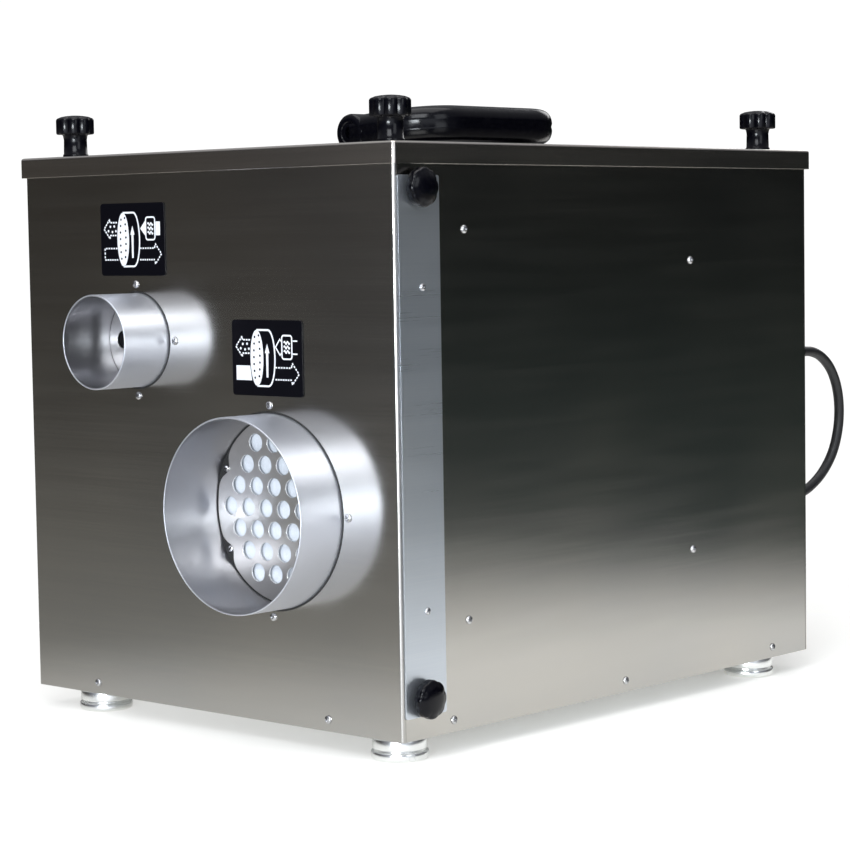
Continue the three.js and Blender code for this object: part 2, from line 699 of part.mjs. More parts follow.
// The scroll's side outline in Y and Z, inset by a wall: a growing spiral, then a straight outlet along +Y.
function scrollOutline(fan, inset, endY) {
  const points = [];
  const steps = 14;
  const from = Math.PI / 18;
  const to = 1.5 * Math.PI;
  for (let i = 0; i <= steps; i++) {
    const angle = from + ((to - from) * i) / steps;
    const radius = fan.start + ((fan.end - fan.start) * i) / steps - inset;
    points.push(new THREE.Vector2(fan.y + radius * Math.cos(angle), fan.z + radius * Math.sin(angle)));
  }
  points.push(new THREE.Vector2(endY, fan.z - fan.end + inset));
  points.push(new THREE.Vector2(endY, points[0].y));
  return new THREE.Shape(points);
}

function scrollSolid(fan, inset, endY) {
  const width = fan.x1 - fan.x0 - 2 * inset;
  const geometry = sideways(extruded(scrollOutline(fan, inset, endY), width));
  return toSolid(geometry.translate(fan.x0 + inset, 0, 0));
}

function fanAssembly(fan) {
  const { x0, x1, y, z } = fan;
  const housing = scrollSolid(fan, 0, scrollEnd)
    .subtract(scrollSolid(fan, sheet, scrollEnd + 5))
    .subtract(rod("+X", 0.75 * fan.impeller, x0 - 5, x0 + 5, y, z, 20))
    .subtract(rod("+X", 14, x1 - 5, x1 + 5, y, z, 12));
  place(`${fan.name}_fan_housing`, housing, galvanised);
  const discFace = x1 - sheet - 6;
  const r = fan.impeller;
  let wheel = rod("+X", r, discFace - 2, discFace, 0, 0, 18);
  wheel = wheel.add(rod("+X", 0.3 * r, discFace - 22, discFace, 0, 0, 10));
  wheel = wheel.add(rod("+X", 5, discFace - 1, x1 - play, 0, 0, 8));
  const blade = box(x0 + sheet + 6, discFace - 1, 0.62 * r, 0.96 * r, -1, 1);
  const ringFace = x0 + sheet + 4;
  const ring = rod("+X", r, ringFace, ringFace + 2.5, 0, 0, 18);
  wheel = wheel.add(ring.subtract(rod("+X", 0.7 * r, ringFace - 1, ringFace + 4, 0, 0, 18)));
  for (let i = 0; i < fan.blades; i++) wheel = wheel.add(blade.rotate([(360 * i) / fan.blades, 0, 0]));
  place(`${fan.name}_impeller`, wheel, galvanised, 0, y, z);
  const motor = rod("+X", fan.motorRadius, x1 + play, x1 + fan.motorLength, y, z, 18);
  place(`${fan.name}_fan_motor`, motor, motorGray);
}

// ---- Mains cord ----
// Route of the stretch that isn't wound: out of the gland, a hanging bow, down, and along the floor.
const cordRoute = [
  [185, halfY + gland.reach + play, 294],
  [185, 340, 293],
  [184, 358, 287.5],
  [183, 375, 276],
  [181, 389, 259],
  [179, 397, 238],
  [177, 398, 215],
  [175, 391, 192],
  [172, 377, 173],
  [169, 358, 160],
  [165, 337, 152],
  [161, 319, 142],
  [157, 307, 126],
  [153, 302, 106],
  [149, 301, 85],
  [144, 302, 64],
  [136, 304, 44],
  [123, 307, 26],
  [105, 311, 12.5],
  [83, 316, 6],
  [60, 321, 4.9],
  [38, 325, 4.9],
  [17, 326.8, 4.9],
];
const coil = { x: -20, y: 392, inner: 41.3, outer: 69.9, height: 18 };
const plug = { y: 331.6, start: coil.x - 44.5, axisZ: 19.3 };

function mainsCord() {
  const { x, z, reach } = gland;
  const profile = [[0, 0], [13, 0], [13, 7], [10.5, 9], [10.5, 14], [8.5, 17], [6.2, reach - 0.3], [0, reach - 0.3]];
  place("cord_gland", turned(profile, "+Y", 16), blackPlastic, x, halfY + play, z);
  const section = new THREE.Shape();
  section.absarc(0, 0, cordRadius, 0, 2 * Math.PI);
  const path = new THREE.CatmullRomCurve3(cordRoute.map((p) => new THREE.Vector3(...p)));
  const tube = new THREE.ExtrudeGeometry(section, { steps: 40, curveSegments: 4, extrudePath: path });
  place("cord_tube", tube, blackRubber);
  const { inner, outer, height } = coil;
  const ring = [[inner, play], [outer, play], [outer, 10], [outer - 4.7, height], [inner, height], [inner, play]];
  place("cord_coil", turned(ring, "+Z", 24), blackRubber, coil.x, coil.y, 0);
  mainsPlug();
}

// A straight moulded plug lying on the floor: bend protector, round body, and two pins, along -X.
function mainsPlug() {
  const r = plug.axisZ - play;
  const body = turned(
    [[0, 0], [6, 0], [7.5, 34], [11, 36], [14, 50], [r, 58], [r, 80], [r - 1.5, 82], [0, 82]],
    "+X",
    16,
  );
  let solid = toSolid(body).rotate([0, 0, 180]);
  for (const y of [-9.5, 9.5]) solid = solid.add(rod("+X", 2.4, -100, -80, y, 0, 8));
  place("mains_plug", solid, blackRubber, plug.start, plug.y, plug.axisZ);
}

basePan();
frontPanel();
rearPanel();
sidePanels();
lid();
lidGasket();
lidKnobs();
hatchKnobs();
carryHandle();
handleBrackets();
filterHatch();
filterFrame();
filterMedium();
filterRails();
ductSpigot("process_inlet_spigot", processDuct, "-Y", 28, 0);
ductSpigot("regen_inlet_spigot", regenDuct, "-Y", 20, 5);
ductSpigot("dry_air_outlet_spigot", dryDuct, "+Y", 28, 0);
ductSpigot("wet_air_outlet_spigot", wetDuct, "+Y", 20, 0);
perforatedPlate();
pictogramPlates();
feet();
controlPlate();
mainSwitch();
hourMeter();
humidityDial();
electricalBox();
rotorCassette();
rotorPieces();
rotorDrive();
heaterHousing();
heaterElement();
fanAssembly(processFan);
fanAssembly(regenFan);
mainsCord();

export default dehumidifier;
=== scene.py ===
import math
import random

import bmesh
import bpy
from mathutils import Matrix, Vector


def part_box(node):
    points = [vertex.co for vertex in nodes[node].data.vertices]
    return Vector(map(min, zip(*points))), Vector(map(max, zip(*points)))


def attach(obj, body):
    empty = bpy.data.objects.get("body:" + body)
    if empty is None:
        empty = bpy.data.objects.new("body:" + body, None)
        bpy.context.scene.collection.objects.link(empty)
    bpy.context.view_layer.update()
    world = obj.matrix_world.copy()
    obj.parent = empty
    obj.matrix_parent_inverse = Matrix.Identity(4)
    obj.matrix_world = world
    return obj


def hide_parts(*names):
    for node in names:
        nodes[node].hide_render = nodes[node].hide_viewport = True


# Looks for the portable desiccant dehumidifier, built around its CAD frame.
# Shapes are in case millimetres: x from the case's middle plane, y from its middle, z from the floor.

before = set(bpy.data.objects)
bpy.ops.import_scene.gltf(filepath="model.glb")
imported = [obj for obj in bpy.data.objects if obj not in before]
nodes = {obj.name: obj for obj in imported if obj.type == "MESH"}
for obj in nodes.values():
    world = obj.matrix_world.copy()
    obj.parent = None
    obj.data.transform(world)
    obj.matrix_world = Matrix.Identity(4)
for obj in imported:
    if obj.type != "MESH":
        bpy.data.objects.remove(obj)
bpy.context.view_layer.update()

MM = 0.001
LID_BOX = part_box("lid")
CASE_X = (LID_BOX[0].x + LID_BOX[1].x) / 2
X, Y, Z = Vector((1, 0, 0)), Vector((0, 1, 0)), Vector((0, 0, 1))


def case_box(node):
    """Lowest and highest corner of a CAD node in case millimetres."""
    low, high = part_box(node)
    shift = Vector((CASE_X, 0, 0))
    return (low - shift) / MM, (high - shift) / MM


def case_centre(node):
    low, high = case_box(node)
    return (low + high) / 2


def to_row(point):
    """A point in case millimetres as metres in the row frame."""
    x, y, z = point
    return Vector((CASE_X + x * MM, y * MM, z * MM))


# ---- Dimensions, in millimetres ----
LID_LOW, LID_HIGH = case_box("lid")
PANEL_LOW, PANEL_HIGH = case_box("front_panel")
HALF_X = PANEL_HIGH.x
HALF_Y = -PANEL_LOW.y
FOOT_HEIGHT = PANEL_LOW.z
PANEL_TOP = PANEL_HIGH.z
SHEET = 1.5
PLAY = 0.3
BEND = 3.0
DUCT_WALL = 1.5
DUCT_INSIDE = 13.0
DUCT_FLANGE = 13.0
DUCT_GAP = 1.8
SCREW_RADIUS = 3.4
LID_STUD_HOLE = 4.6
HATCH_STUD_HOLE = 3.4
GLAND_HOLE = 8.5


def duct(node, face, screw_ring, lip=0):
    """A spigot's radius, where its axis meets the panel, its direction, reach, screw circle and inner lip."""
    low, high = case_box(node)
    middle = (low + high) / 2
    return {
        "node": node,
        "radius": (high.x - low.x) / 2 - DUCT_FLANGE,
        "root": Vector((middle.x, face * HALF_Y, middle.z)),
        "outward": Y * face,
        "reach": high.y - HALF_Y if face > 0 else -HALF_Y - low.y,
        "screw_ring": screw_ring,
        "lip": lip,
    }


PROCESS_INLET = duct("process_inlet_spigot", -1, 85.6)
REGEN_INLET = duct("regen_inlet_spigot", -1, 46.9, lip=5)
DRY_OUTLET = duct("dry_air_outlet_spigot", 1, 68.6)
WET_OUTLET = duct("wet_air_outlet_spigot", 1, 46.9)
GLAND = case_centre("cord_gland")
GLAND_REACH = case_box("cord_gland")[1].y
CORD_RADIUS = 4.7


# ---- Mesh helpers ----
def add_object(name, data):
    thing = bpy.data.objects.new(name, data)
    bpy.context.scene.collection.objects.link(thing)
    return thing


def to_mesh(bm, name):
    """A new mesh of a bmesh, which is used up."""
    mesh = bpy.data.meshes.new(name)
    bm.to_mesh(mesh)
    bm.free()
    return mesh


def polish_mesh(bm, sharp):
    """Faces out, smooth shading, and edges steeper than sharp degrees kept crisp."""
    bmesh.ops.recalc_face_normals(bm, faces=bm.faces)
    limit = math.radians(sharp)
    for face in bm.faces:
        face.smooth = True
    for edge in bm.edges:
        edge.smooth = len(edge.link_faces) == 2 and edge.calc_face_angle(0.0) < limit


def round_edges(piece, bevel, harden):
    edges = piece.modifiers.new("edges", "BEVEL")
    edges.width = bevel * MM
    edges.segments = 2
    edges.limit_method = "ANGLE"
    edges.angle_limit = math.radians(42)
    edges.harden_normals = harden


def weigh_normals(piece, keep_sharp):
    weights = piece.modifiers.new("weights", "WEIGHTED_NORMAL")
    weights.weight = 100
    weights.keep_sharp = keep_sharp


def finish(bm, name, material, body, replaced=(), sharp=34, bevel=0.0, flat=False):
    """Makes a piece from a bmesh in case millimetres and lets it ride on a body."""
    polish_mesh(bm, sharp)
    bm.transform(Matrix.Translation((CASE_X, 0, 0)) @ Matrix.Scale(MM, 4))
    mesh = to_mesh(bm, name)
    mesh.materials.append(material)
    piece = add_object(name, mesh)
    if bevel:
        round_edges(piece, bevel, True)
    if bevel or flat:
        weigh_normals(piece, True)
    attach(piece, body)
    if replaced:
        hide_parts(*replaced)
    return piece


def dress(name, material, bevel=0.25):
    """Gives a CAD node its material, welded corners, rounded edges and smooth round faces."""
    node = nodes[name]
    node.data.materials.clear()
    node.data.materials.append(material)
    if "custom_normal" in node.data.attributes:
        node.data.attributes.remove(node.data.attributes["custom_normal"])
    for polygon in node.data.polygons:
        polygon.use_smooth = True
    weld = node.modifiers.new("weld", "WELD")
    weld.merge_threshold = 0.00001
    if bevel:
        round_edges(node, bevel, False)
    split = node.modifiers.new("split", "EDGE_SPLIT")
    split.split_angle = math.radians(32)
    weigh_normals(node, False)


def second_material(piece, material, chosen):
    """Gives another material to the faces that a test picks."""
    piece.data.materials.append(material)
    for polygon in piece.data.polygons:
        if chosen(polygon):
            polygon.material_index = 1


def basis(direction):
    """Two directions square to the given one, so that all three are right-handed."""
    first = Y.copy() if abs(direction.x) > 0.5 else X.copy()
    return first, direction.cross(first)


def add_ring(bm, origin, direction, radius, height, segments, shape=None):
    first, second = basis(direction)
    centre = origin + direction * height
    ring = []
    for i in range(segments):
        angle = 2 * math.pi * i / segments
        r = shape(angle, radius, height) if shape else radius
        ring.append(bm.verts.new(centre + first * (r * math.cos(angle)) + second * (r * math.sin(angle))))
    return ring


def bridge(bm, lower, upper):
    count = len(lower)
    for i in range(count):
        j = (i + 1) % count
        bm.faces.new((lower[i], lower[j], upper[j], upper[i]))


def skin(bm, rings):
    """Joins rings of points one after another and closes both ends."""
    for lower, upper in zip(rings, rings[1:]):
        bridge(bm, lower, upper)
    bm.faces.new(rings[0])
    bm.faces.new(rings[-1])


def lathe(profile, origin, direction, segments=64, shape=None, bm=None):
    """A turned solid of (radius, height) pairs. A profile that ends where it starts makes a ring."""
    bm = bmesh.new() if bm is None else bm
    origin = Vector(origin)
    closed = profile[0] == profile[-1]
    rings = []
    for radius, height in profile[:-1] if closed else profile:
        if radius == 0:
            rings.append([bm.verts.new(origin + direction * height)])
        else:
            rings.append(add_ring(bm, origin, direction, radius, height, segments, shape))
    pairs = list(zip(rings, rings[1:]))
    if closed:
        pairs.append((rings[-1], rings[0]))
    for lower, upper in pairs:
        if len(lower) == 1 or len(upper) == 1:
            pole, ring = (lower[0], upper) if len(lower) == 1 else (upper[0], lower)
            for i in range(segments):
                bm.faces.new((pole, ring[i], ring[(i + 1) % segments]))
        else:
            bridge(bm, lower, upper)
    return bm


def drum(origin, direction, radius, low, high, segments=64):
    """A plain closed cylinder, for cutting with."""
    return lathe([(0, low), (radius, low), (radius, high), (0, high)], origin, direction, segments)


def box(low, high):
    low, high = Vector(low), Vector(high)
    place = Matrix.Translation((low + high) / 2) @ Matrix.Diagonal((*(high - low), 1))
    bm = bmesh.new()
    bmesh.ops.create_cube(bm, size=1, matrix=place)
    return bm


def plate(loops, origin, across, upward, depth, bm=None):
    """A flat plate from outlines of (a, b) points, the first one its edge and the rest its holes.
    It starts at the origin's plane and grows by depth along across x upward."""
    bm = bmesh.new() if bm is None else bm
    origin, outward = Vector(origin), across.cross(upward)
    edges = []
    for loop in loops:
        ring = [bm.verts.new(origin + across * a + upward * b) for a, b in loop]
        edges += [bm.edges.new((ring[i], ring[(i + 1) % len(ring)])) for i in range(len(ring))]
    filled = bmesh.ops.triangle_fill(bm, use_beauty=True, use_dissolve=False, edges=edges)
    faces = [part for part in filled["geom"] if isinstance(part, bmesh.types.BMFace)]
    grown = bmesh.ops.extrude_face_region(bm, geom=faces)
    moved = [part for part in grown["geom"] if isinstance(part, bmesh.types.BMVert)]
    bmesh.ops.translate(bm, verts=moved, vec=outward * depth)
    return bm


def arc(a, b, half_a, half_b, start, end, steps):
    """Points on a stretch of an ellipse between two angles in degrees, both ends among them."""
    angles = [math.radians(start + (end - start) * i / steps) for i in range(steps + 1)]
    return [(a + half_a * math.cos(angle), b + half_b * math.sin(angle)) for angle in angles]


def circle(a, b, radius, count=32):
    return arc(a, b, radius, radius, 0, 360, count)[:-1]


def rounded_rectangle(half_a, half_b, radius, a=0.0, b=0.0, steps=6):
    points = []
    for corner, (sign_a, sign_b) in enumerate([(1, 1), (-1, 1), (-1, -1), (1, -1)]):
        middle_a, middle_b = a + sign_a * (half_a - radius), b + sign_b * (half_b - radius)
        points += arc(middle_a, middle_b, radius, radius, 90 * corner, 90 * corner + 90, steps)
    return points


def subtract(bm, *cutters):
    """The bmesh cut by each of the others; all are closed."""
    for cutter in cutters:
        pair = []
        for shape in (bm, cutter):
            bmesh.ops.recalc_face_normals(shape, faces=shape.faces)
            pair.append(add_object("cut", to_mesh(shape, "cut")))
        cut = pair[0].modifiers.new("cut", "BOOLEAN")
        cut.operation = "DIFFERENCE"
        cut.solver = "EXACT"
        cut.object = pair[1]
        bpy.context.view_layer.update()
        bm = bmesh.new()
        bm.from_object(pair[0], bpy.context.evaluated_depsgraph_get())
        for leftover in pair:
            mesh = leftover.data
            bpy.data.objects.remove(leftover)
            bpy.data.meshes.remove(mesh)
    return bm


def clamped(share):
    return min(1.0, max(0.0, share))


def eased(share):
    share = clamped(share)
    return share * share * (3 - 2 * share)


def smooth_path(points, per_span):
    """Points on one smooth curve through all the given ones."""
    points = [Vector(p) for p in points]
    path = []
    for i in range(len(points) - 1):
        before = points[i - 1] if i else 2 * points[0] - points[1]
        after = points[i + 2] if i + 2 < len(points) else 2 * points[-1] - points[-2]
        start, end = points[i], points[i + 1]
        for step in range(per_span):
            t = step / per_span
            path.append(0.5 * (
                2 * start
                + (end - before) * t
                + (2 * before - 5 * start + 4 * end - after) * t * t
                + (3 * start - before - 3 * end + after) * t ** 3
            ))
    path.append(points[-1])
    return path


# ---- Camera ----
def photo_camera():
    """The camera at the picture's viewing angle, level but for a slight roll."""
    turn, pitch, roll = math.radians(42.141), math.radians(4.268), math.radians(-0.919)
    place = Vector((1.5330, -1.7067, 0.4098))
    level_right = Vector((math.cos(turn), math.sin(turn), 0))
    level_ahead = Vector((-math.sin(turn), math.cos(turn), 0))
    ahead = math.cos(pitch) * level_ahead - math.sin(pitch) * Z
    upward = math.sin(pitch) * level_ahead + math.cos(pitch) * Z
    right = math.cos(roll) * level_right + math.sin(roll) * upward
    up = -math.sin(roll) * level_right + math.cos(roll) * upward
    data = bpy.data.cameras.new("photo_camera")
    data.sensor_width = 36
    data.lens = 107.79
    data.clip_end = 60
    camera = add_object("photo_camera", data)
    camera.matrix_world = Matrix.Translation(place) @ Matrix((right, up, -ahead)).transposed().to_4x4()
    bpy.context.scene.camera = camera


# ---- Materials ----
class Nodes:
    """Adds nodes to a shader tree and joins them."""

    def __init__(self, tree):
        self.tree = tree

    def add(self, kind, links=None, **settings):
        """A node. Settings are its properties, or its inputs where the name is one; links join inputs."""
        node = self.tree.nodes.new(kind)
        for key, value in settings.items():
            if hasattr(node, key):
                setattr(node, key, value)
            else:
                node.inputs[key.replace("_", " ")].default_value = value
        for socket, source in (links or {}).items():
            self.tree.links.new(source, node.inputs[socket])
        return node

    def point(self, stretch=(1, 1, 1)):
        """Object coordinates in metres, stretched."""
        coordinates = self.add("ShaderNodeTexCoord")
        mapping = self.add("ShaderNodeMapping", {"Vector": coordinates.outputs["Object"]}, Scale=stretch)
        return mapping.outputs["Vector"]

    def grain(self, scale, detail=3.0, rough=0.5, stretch=(1, 1, 1)):
        settings = {"Scale": scale, "Detail": detail, "Roughness": rough}
        return self.add("ShaderNodeTexNoise", {"Vector": self.point(stretch)}, **settings).outputs["Fac"]

    def cells(self, scale, stretch=(1, 1, 1), feature="F1"):
        return self.add("ShaderNodeTexVoronoi", {"Vector": self.point(stretch)}, feature=feature, Scale=scale)

    def spread(self, value, low, high, start=0.0, end=1.0):
        """The value's start..end stretched to low..high."""
        ends = {"From_Min": start, "From_Max": end, "To_Min": low, "To_Max": high}
        return self.add("ShaderNodeMapRange", {"Value": value}, **ends).outputs["Result"]

    def total(self, first, *others):
        for other in others:
            first = self.add("ShaderNodeMath", {0: first, 1: other}, operation="ADD").outputs["Value"]
        return first

    def tint(self, factor, low, high):
        """A colour between two by a factor; each is a plain colour or another node's output."""
        mix = self.add("ShaderNodeMix", {"Factor": factor}, data_type="RGBA")
        color_sockets = [socket for socket in mix.inputs if socket.type == "RGBA"]
        for socket, color in zip(color_sockets, (low, high)):
            if isinstance(color, tuple):
                socket.default_value = (*color, 1)
            else:
                self.tree.links.new(color, socket)
        return next(socket for socket in mix.outputs if socket.type == "RGBA")

    def blend(self, factor, first, second):
        """Two shaders mixed by a factor."""
        links = {"Fac": factor, 1: first.outputs[0], 2: second.outputs[0]}
        return self.add("ShaderNodeMixShader", links).outputs["Shader"]


class Surface(Nodes):
    """A named material; further sockets of its main shader are given by name with _ for a space."""

    def __init__(self, name, color, metallic, roughness, **sockets):
        self.material = bpy.data.materials.new(name)
        self.material.use_nodes = True
        super().__init__(self.material.node_tree)
        self.shader = self.tree.nodes["Principled BSDF"]
        sockets = {"Base_Color": (*color, 1), "Metallic": metallic, "Roughness": roughness, **sockets}
        for socket, value in sockets.items():
            self.shader.inputs[socket.replace("_", " ")].default_value = value

    def drive(self, **sources):
        for socket, source in sources.items():
            self.tree.links.new(source, self.shader.inputs[socket.replace("_", " ")])

    def bump(self, *heights):
        """Bumps from (height, strength, distance in millimetres) triples; gives back the material."""
        below = {}
        for height, strength, distance in heights:
            settings = {"Strength": strength, "Distance": distance * MM}
            bump = self.add("ShaderNodeBump", {"Height": height, **below}, **settings)
            below = {"Normal": bump.outputs["Normal"]}
        self.drive(**below)
        return self.material


def scaled(color, factor):
    return tuple(factor * c for c in color)


def brushed_steel(name, color, roughness, lines=(5, 5, 950), metallic=1.0, anisotropic=0.5):
    """Sheet steel ground in one direction: fine lines, soft cloudy wear and a few wipe marks."""
    steel = Surface(name, color, metallic, roughness, Anisotropic=anisotropic, Anisotropic_Rotation=0.25)
    fine = steel.grain(1.0, 4.0, 0.65, lines)
    broad = steel.grain(1.0, 2.0, stretch=scaled(lines, 0.14))
    cloud = steel.grain(5.0, 1.0)
    smear = steel.grain(6.0, 1.0, stretch=(1, 1, 12))
    uneven = steel.total(
        steel.spread(fine, -0.03, 0.03),
        steel.spread(cloud, -0.01, 0.012, 0.3, 0.7),
        steel.spread(smear, roughness - 0.008, roughness + 0.012, 0.35, 0.65),
    )
    mottle = steel.total(steel.spread(fine, 0, 0.6), steel.spread(cloud, 0, 0.4, 0.35, 0.65))
    cool = (0.90 * color[0], 0.91 * color[1], 0.93 * color[2])
    warm = (1.12 * color[0], 1.08 * color[1], 1.02 * color[2])
    tangent = steel.add("ShaderNodeTangent", direction_type="RADIAL", axis="Z")
    steel.drive(Roughness=uneven, Base_Color=steel.tint(mottle, cool, warm), Tangent=tangent.outputs[0])
    return steel.bump((broad, 0.02, 0.02), (fine, 0.08, 0.01))


def satin_metal(name, color, roughness, cloud_scale=30.0, unevenness=0.05):
    """Formed or rolled metal with a cloudy satin surface."""
    metal = Surface(name, color, 1.0, roughness)
    cloud = metal.grain(cloud_scale, 5.0, 0.6)
    fine = metal.grain(900.0)
    clouds = metal.spread(cloud, roughness - unevenness, roughness + unevenness, 0.3, 0.7)
    shade = metal.tint(cloud, scaled(color, 1 - 2 * unevenness), color)
    metal.drive(Roughness=metal.total(clouds, metal.spread(fine, -0.03, 0.03)), Base_Color=shade)
    return metal.bump((cloud, 0.03, 0.3), (fine, 0.06, 0.02))


def galvanised_steel(name):
    """Zinc-coated sheet: flat crystals of slightly different shade and gloss."""
    zinc = Surface(name, (0.58, 0.60, 0.61), 1.0, 0.42)
    flake = zinc.add("ShaderNodeSeparateColor", {"Color": zinc.cells(110.0).outputs["Color"]}).outputs["Red"]
    zinc.drive(Base_Color=zinc.tint(flake, (0.5, 0.52, 0.53), (0.68, 0.70, 0.71)))
    zinc.drive(Roughness=zinc.spread(flake, 0.34, 0.52))
    return zinc.bump((flake, 0.04, 0.05))


def moulded_plastic(name, color, roughness):
    """Moulded plastic: a very fine pebble, slight waviness and a trace of dust in the gloss."""
    plastic = Surface(name, color, 0.0, roughness, Specular_IOR_Level=0.22)
    pebble = plastic.grain(1400.0, 2.0)
    wave = plastic.grain(60.0, 2.0)
    dust = plastic.grain(240.0, 5.0, 0.7)
    dusty = tuple(c + 0.003 for c in color)
    plastic.drive(Roughness=plastic.spread(dust, roughness - 0.03, roughness + 0.12, 0.35, 0.75))
    plastic.drive(Base_Color=plastic.tint(plastic.spread(dust, 0, 1, 0.5, 0.8), color, dusty))
    return plastic.bump((wave, 0.05, 0.4), (pebble, 0.05, 0.03))


def matte_rubber(name, color, roughness):
    rubber = Surface(name, color, 0.0, roughness, Specular_IOR_Level=0.4)
    fine = rubber.grain(1800.0)
    scuff = rubber.grain(130.0, 5.0, 0.7)
    lighter = tuple(1.5 * c + 0.01 for c in color)
    rubber.drive(Roughness=rubber.spread(scuff, roughness - 0.1, roughness + 0.1, 0.3, 0.7))
    rubber.drive(Base_Color=rubber.tint(rubber.spread(scuff, 0, 1, 0.55, 0.8), color, lighter))
    return rubber.bump((fine, 0.15, 0.04))


def fleece(name, color):
    """White filter fleece: tangled fibres that scatter the light."""
    felt = Surface(name, color, 0.0, 0.9, Sheen_Weight=0.3)
    fibres = felt.cells(420.0, feature="DISTANCE_TO_EDGE").outputs["Distance"]
    mat = felt.grain(300.0, 6.0, 0.75)
    felt.drive(Base_Color=felt.tint(mat, scaled(color, 0.72), color))
    return felt.bump((mat, 0.5, 0.6), (fibres, 0.2, 0.2))


def foam_rubber(name, color):
    """Open-celled foam whose pores are painted darker than its skin, as painted shade inside them."""
    foam = Surface(name, color, 0.0, 0.95, Specular_IOR_Level=0.2)
    pores = foam.cells(900.0).outputs["Distance"]
    # Painted shade: the pores' centres darker and the skin between them lighter.
    foam.drive(Base_Color=foam.tint(pores, scaled(color, 0.7), scaled(color, 1.4)))
    return foam.bump((pores, 0.6, 0.2))


def honeycomb(name):
    """Desiccant rotor body: rows of small flutes that run through it, their openings painted dark as the
    shade inside them.
    """
    comb = Surface(name, (0.62, 0.59, 0.52), 0.0, 0.9)
    edges = comb.cells(420.0, (1, 0.001, 1), "DISTANCE_TO_EDGE").outputs["Distance"]
    wall = comb.spread(edges, 0, 1, 0.05, 0.25)
    # Painted shade: the flutes' openings dark and their thin walls light.
    comb.drive(Base_Color=comb.tint(wall, (0.66, 0.63, 0.56), (0.10, 0.09, 0.08)))
    return comb.bump((wall, -0.6, 0.8))


def glossy_print(name, color, roughness):
    """Printed label stock with a soft orange-peel gloss."""
    label = Surface(name, color, 0.0, roughness, Specular_IOR_Level=0.2)
    peel = label.grain(500.0, 2.0)
    label.drive(Roughness=label.spread(peel, roughness - 0.03, roughness + 0.05))
    label.drive(Base_Color=label.tint(peel, scaled(color, 0.9), color))
    return label.bump((peel, 0.05, 0.05))


def painted_motor(name):
    paint = Surface(name, (0.05, 0.055, 0.06), 0.0, 0.45)
    peel = paint.grain(420.0)
    paint.drive(Roughness=paint.spread(peel, 0.38, 0.55))
    paint.drive(Base_Color=paint.tint(peel, (0.04, 0.044, 0.05), (0.065, 0.07, 0.076)))
    return paint.bump((peel, 0.2, 0.1))


def ribbed_lens(name):
    """Green lamp glass with fine moulded ribs."""
    lens = Surface(name, (0.02, 0.32, 0.08), 0.0, 0.12, Coat_Weight=0.4)
    ribs = lens.add("ShaderNodeTexWave", {"Vector": lens.point()}, Scale=260.0).outputs["Fac"]
    lens.drive(Base_Color=lens.tint(ribs, (0.015, 0.26, 0.06), (0.03, 0.42, 0.12)))
    return lens.bump((ribs, 0.15, 0.1))


STEEL = brushed_steel("panel_steel", (0.46, 0.455, 0.44), 0.165)
LID_STEEL = brushed_steel("lid_steel", (0.46, 0.455, 0.44), 0.2, lines=(950, 5, 950), anisotropic=0.0)
# The skirt's steel is painted lighter than the lid top's, though both are one sheet: painted light on the
# skirt.
SKIRT_PAINTED_LIGHT = brushed_steel("skirt_painted_light", (0.64, 0.61, 0.58), 0.19)
HATCH_STEEL = brushed_steel("hatch_steel", (0.60, 0.655, 0.73), 0.29, metallic=0.92)
DUCT_STEEL = satin_metal("duct_steel", (0.70, 0.72, 0.785), 0.45, 12.0, 0.02)
# The bore is the same rolled steel as the outside, painted darker as the shade inside the tube.
BORE_PAINTED_SHADE = satin_metal("duct_bore_painted_shade", (0.36, 0.36, 0.385), 0.32, 12.0, 0.03)
PLATE_STEEL = satin_metal("plate_steel", (0.74, 0.73, 0.71), 0.34, 22.0, 0.03)
SCREW_STEEL = satin_metal("screw_steel", (0.55, 0.55, 0.56), 0.2, 300.0)
GALVANISED = galvanised_steel("galvanised_sheet")
POLISHED = satin_metal("polished_steel", (0.92, 0.93, 0.92), 0.24, 60.0)
BLACK_PLASTIC = moulded_plastic("black_plastic", (0.001, 0.001, 0.0025), 0.15)
BLACK_PLATE = glossy_print("black_plate", (0.001, 0.001, 0.003), 0.3)
WHITE_PRINT = glossy_print("white_print", (0.80, 0.82, 0.86), 0.4)
CORD_RUBBER = matte_rubber("cord_rubber", (0.014, 0.014, 0.015), 0.42)
BELT_RUBBER = matte_rubber("belt_rubber", (0.02, 0.02, 0.02), 0.75)
GASKET_FOAM = foam_rubber("gasket_foam", (0.07, 0.072, 0.075))
# Near-black, for the disc that is painted shade behind the small inlet.
INLET_PAINTED_SHADE = foam_rubber("inlet_painted_shade", (0.004, 0.004, 0.005))
FLEECE = fleece("filter_fleece", (0.84, 0.89, 0.97))
HONEYCOMB = honeycomb("desiccant_honeycomb")
MOTOR_PAINT = painted_motor("motor_paint")
HEATER = satin_metal("heater_sheath", (0.42, 0.28, 0.19), 0.4)
LAMP_GREEN = ribbed_lens("lamp_green")


# ---- Mains cord ----
CORD_ROUTE = [
    (185, GLAND_REACH + PLAY, 294), (185, 340, 293), (184, 358, 287.5), (183, 375, 276), (181, 389, 259),
    (179, 397, 238), (177, 398, 215), (175, 391, 192), (172, 377, 173), (169, 358, 160), (165, 337, 152),
    (161, 319, 142), (157, 307, 126), (153, 302, 106), (149, 301, 85), (144, 302, 64), (136, 304, 44),
    (123, 307, 26), (105, 311, 12.5), (83, 316, 6), (60, 321, 4.9), (38, 325, 4.9), (17, 326.8, 4.9),
]
COIL_CENTRE = (-20, 392)
COIL_LAYERS = (4.9, 14.4, 23.9)
COIL_START = 65.2
COIL_PITCH = 9.6
PLUG_START = Vector((-64.5, 331.6, 19.3))


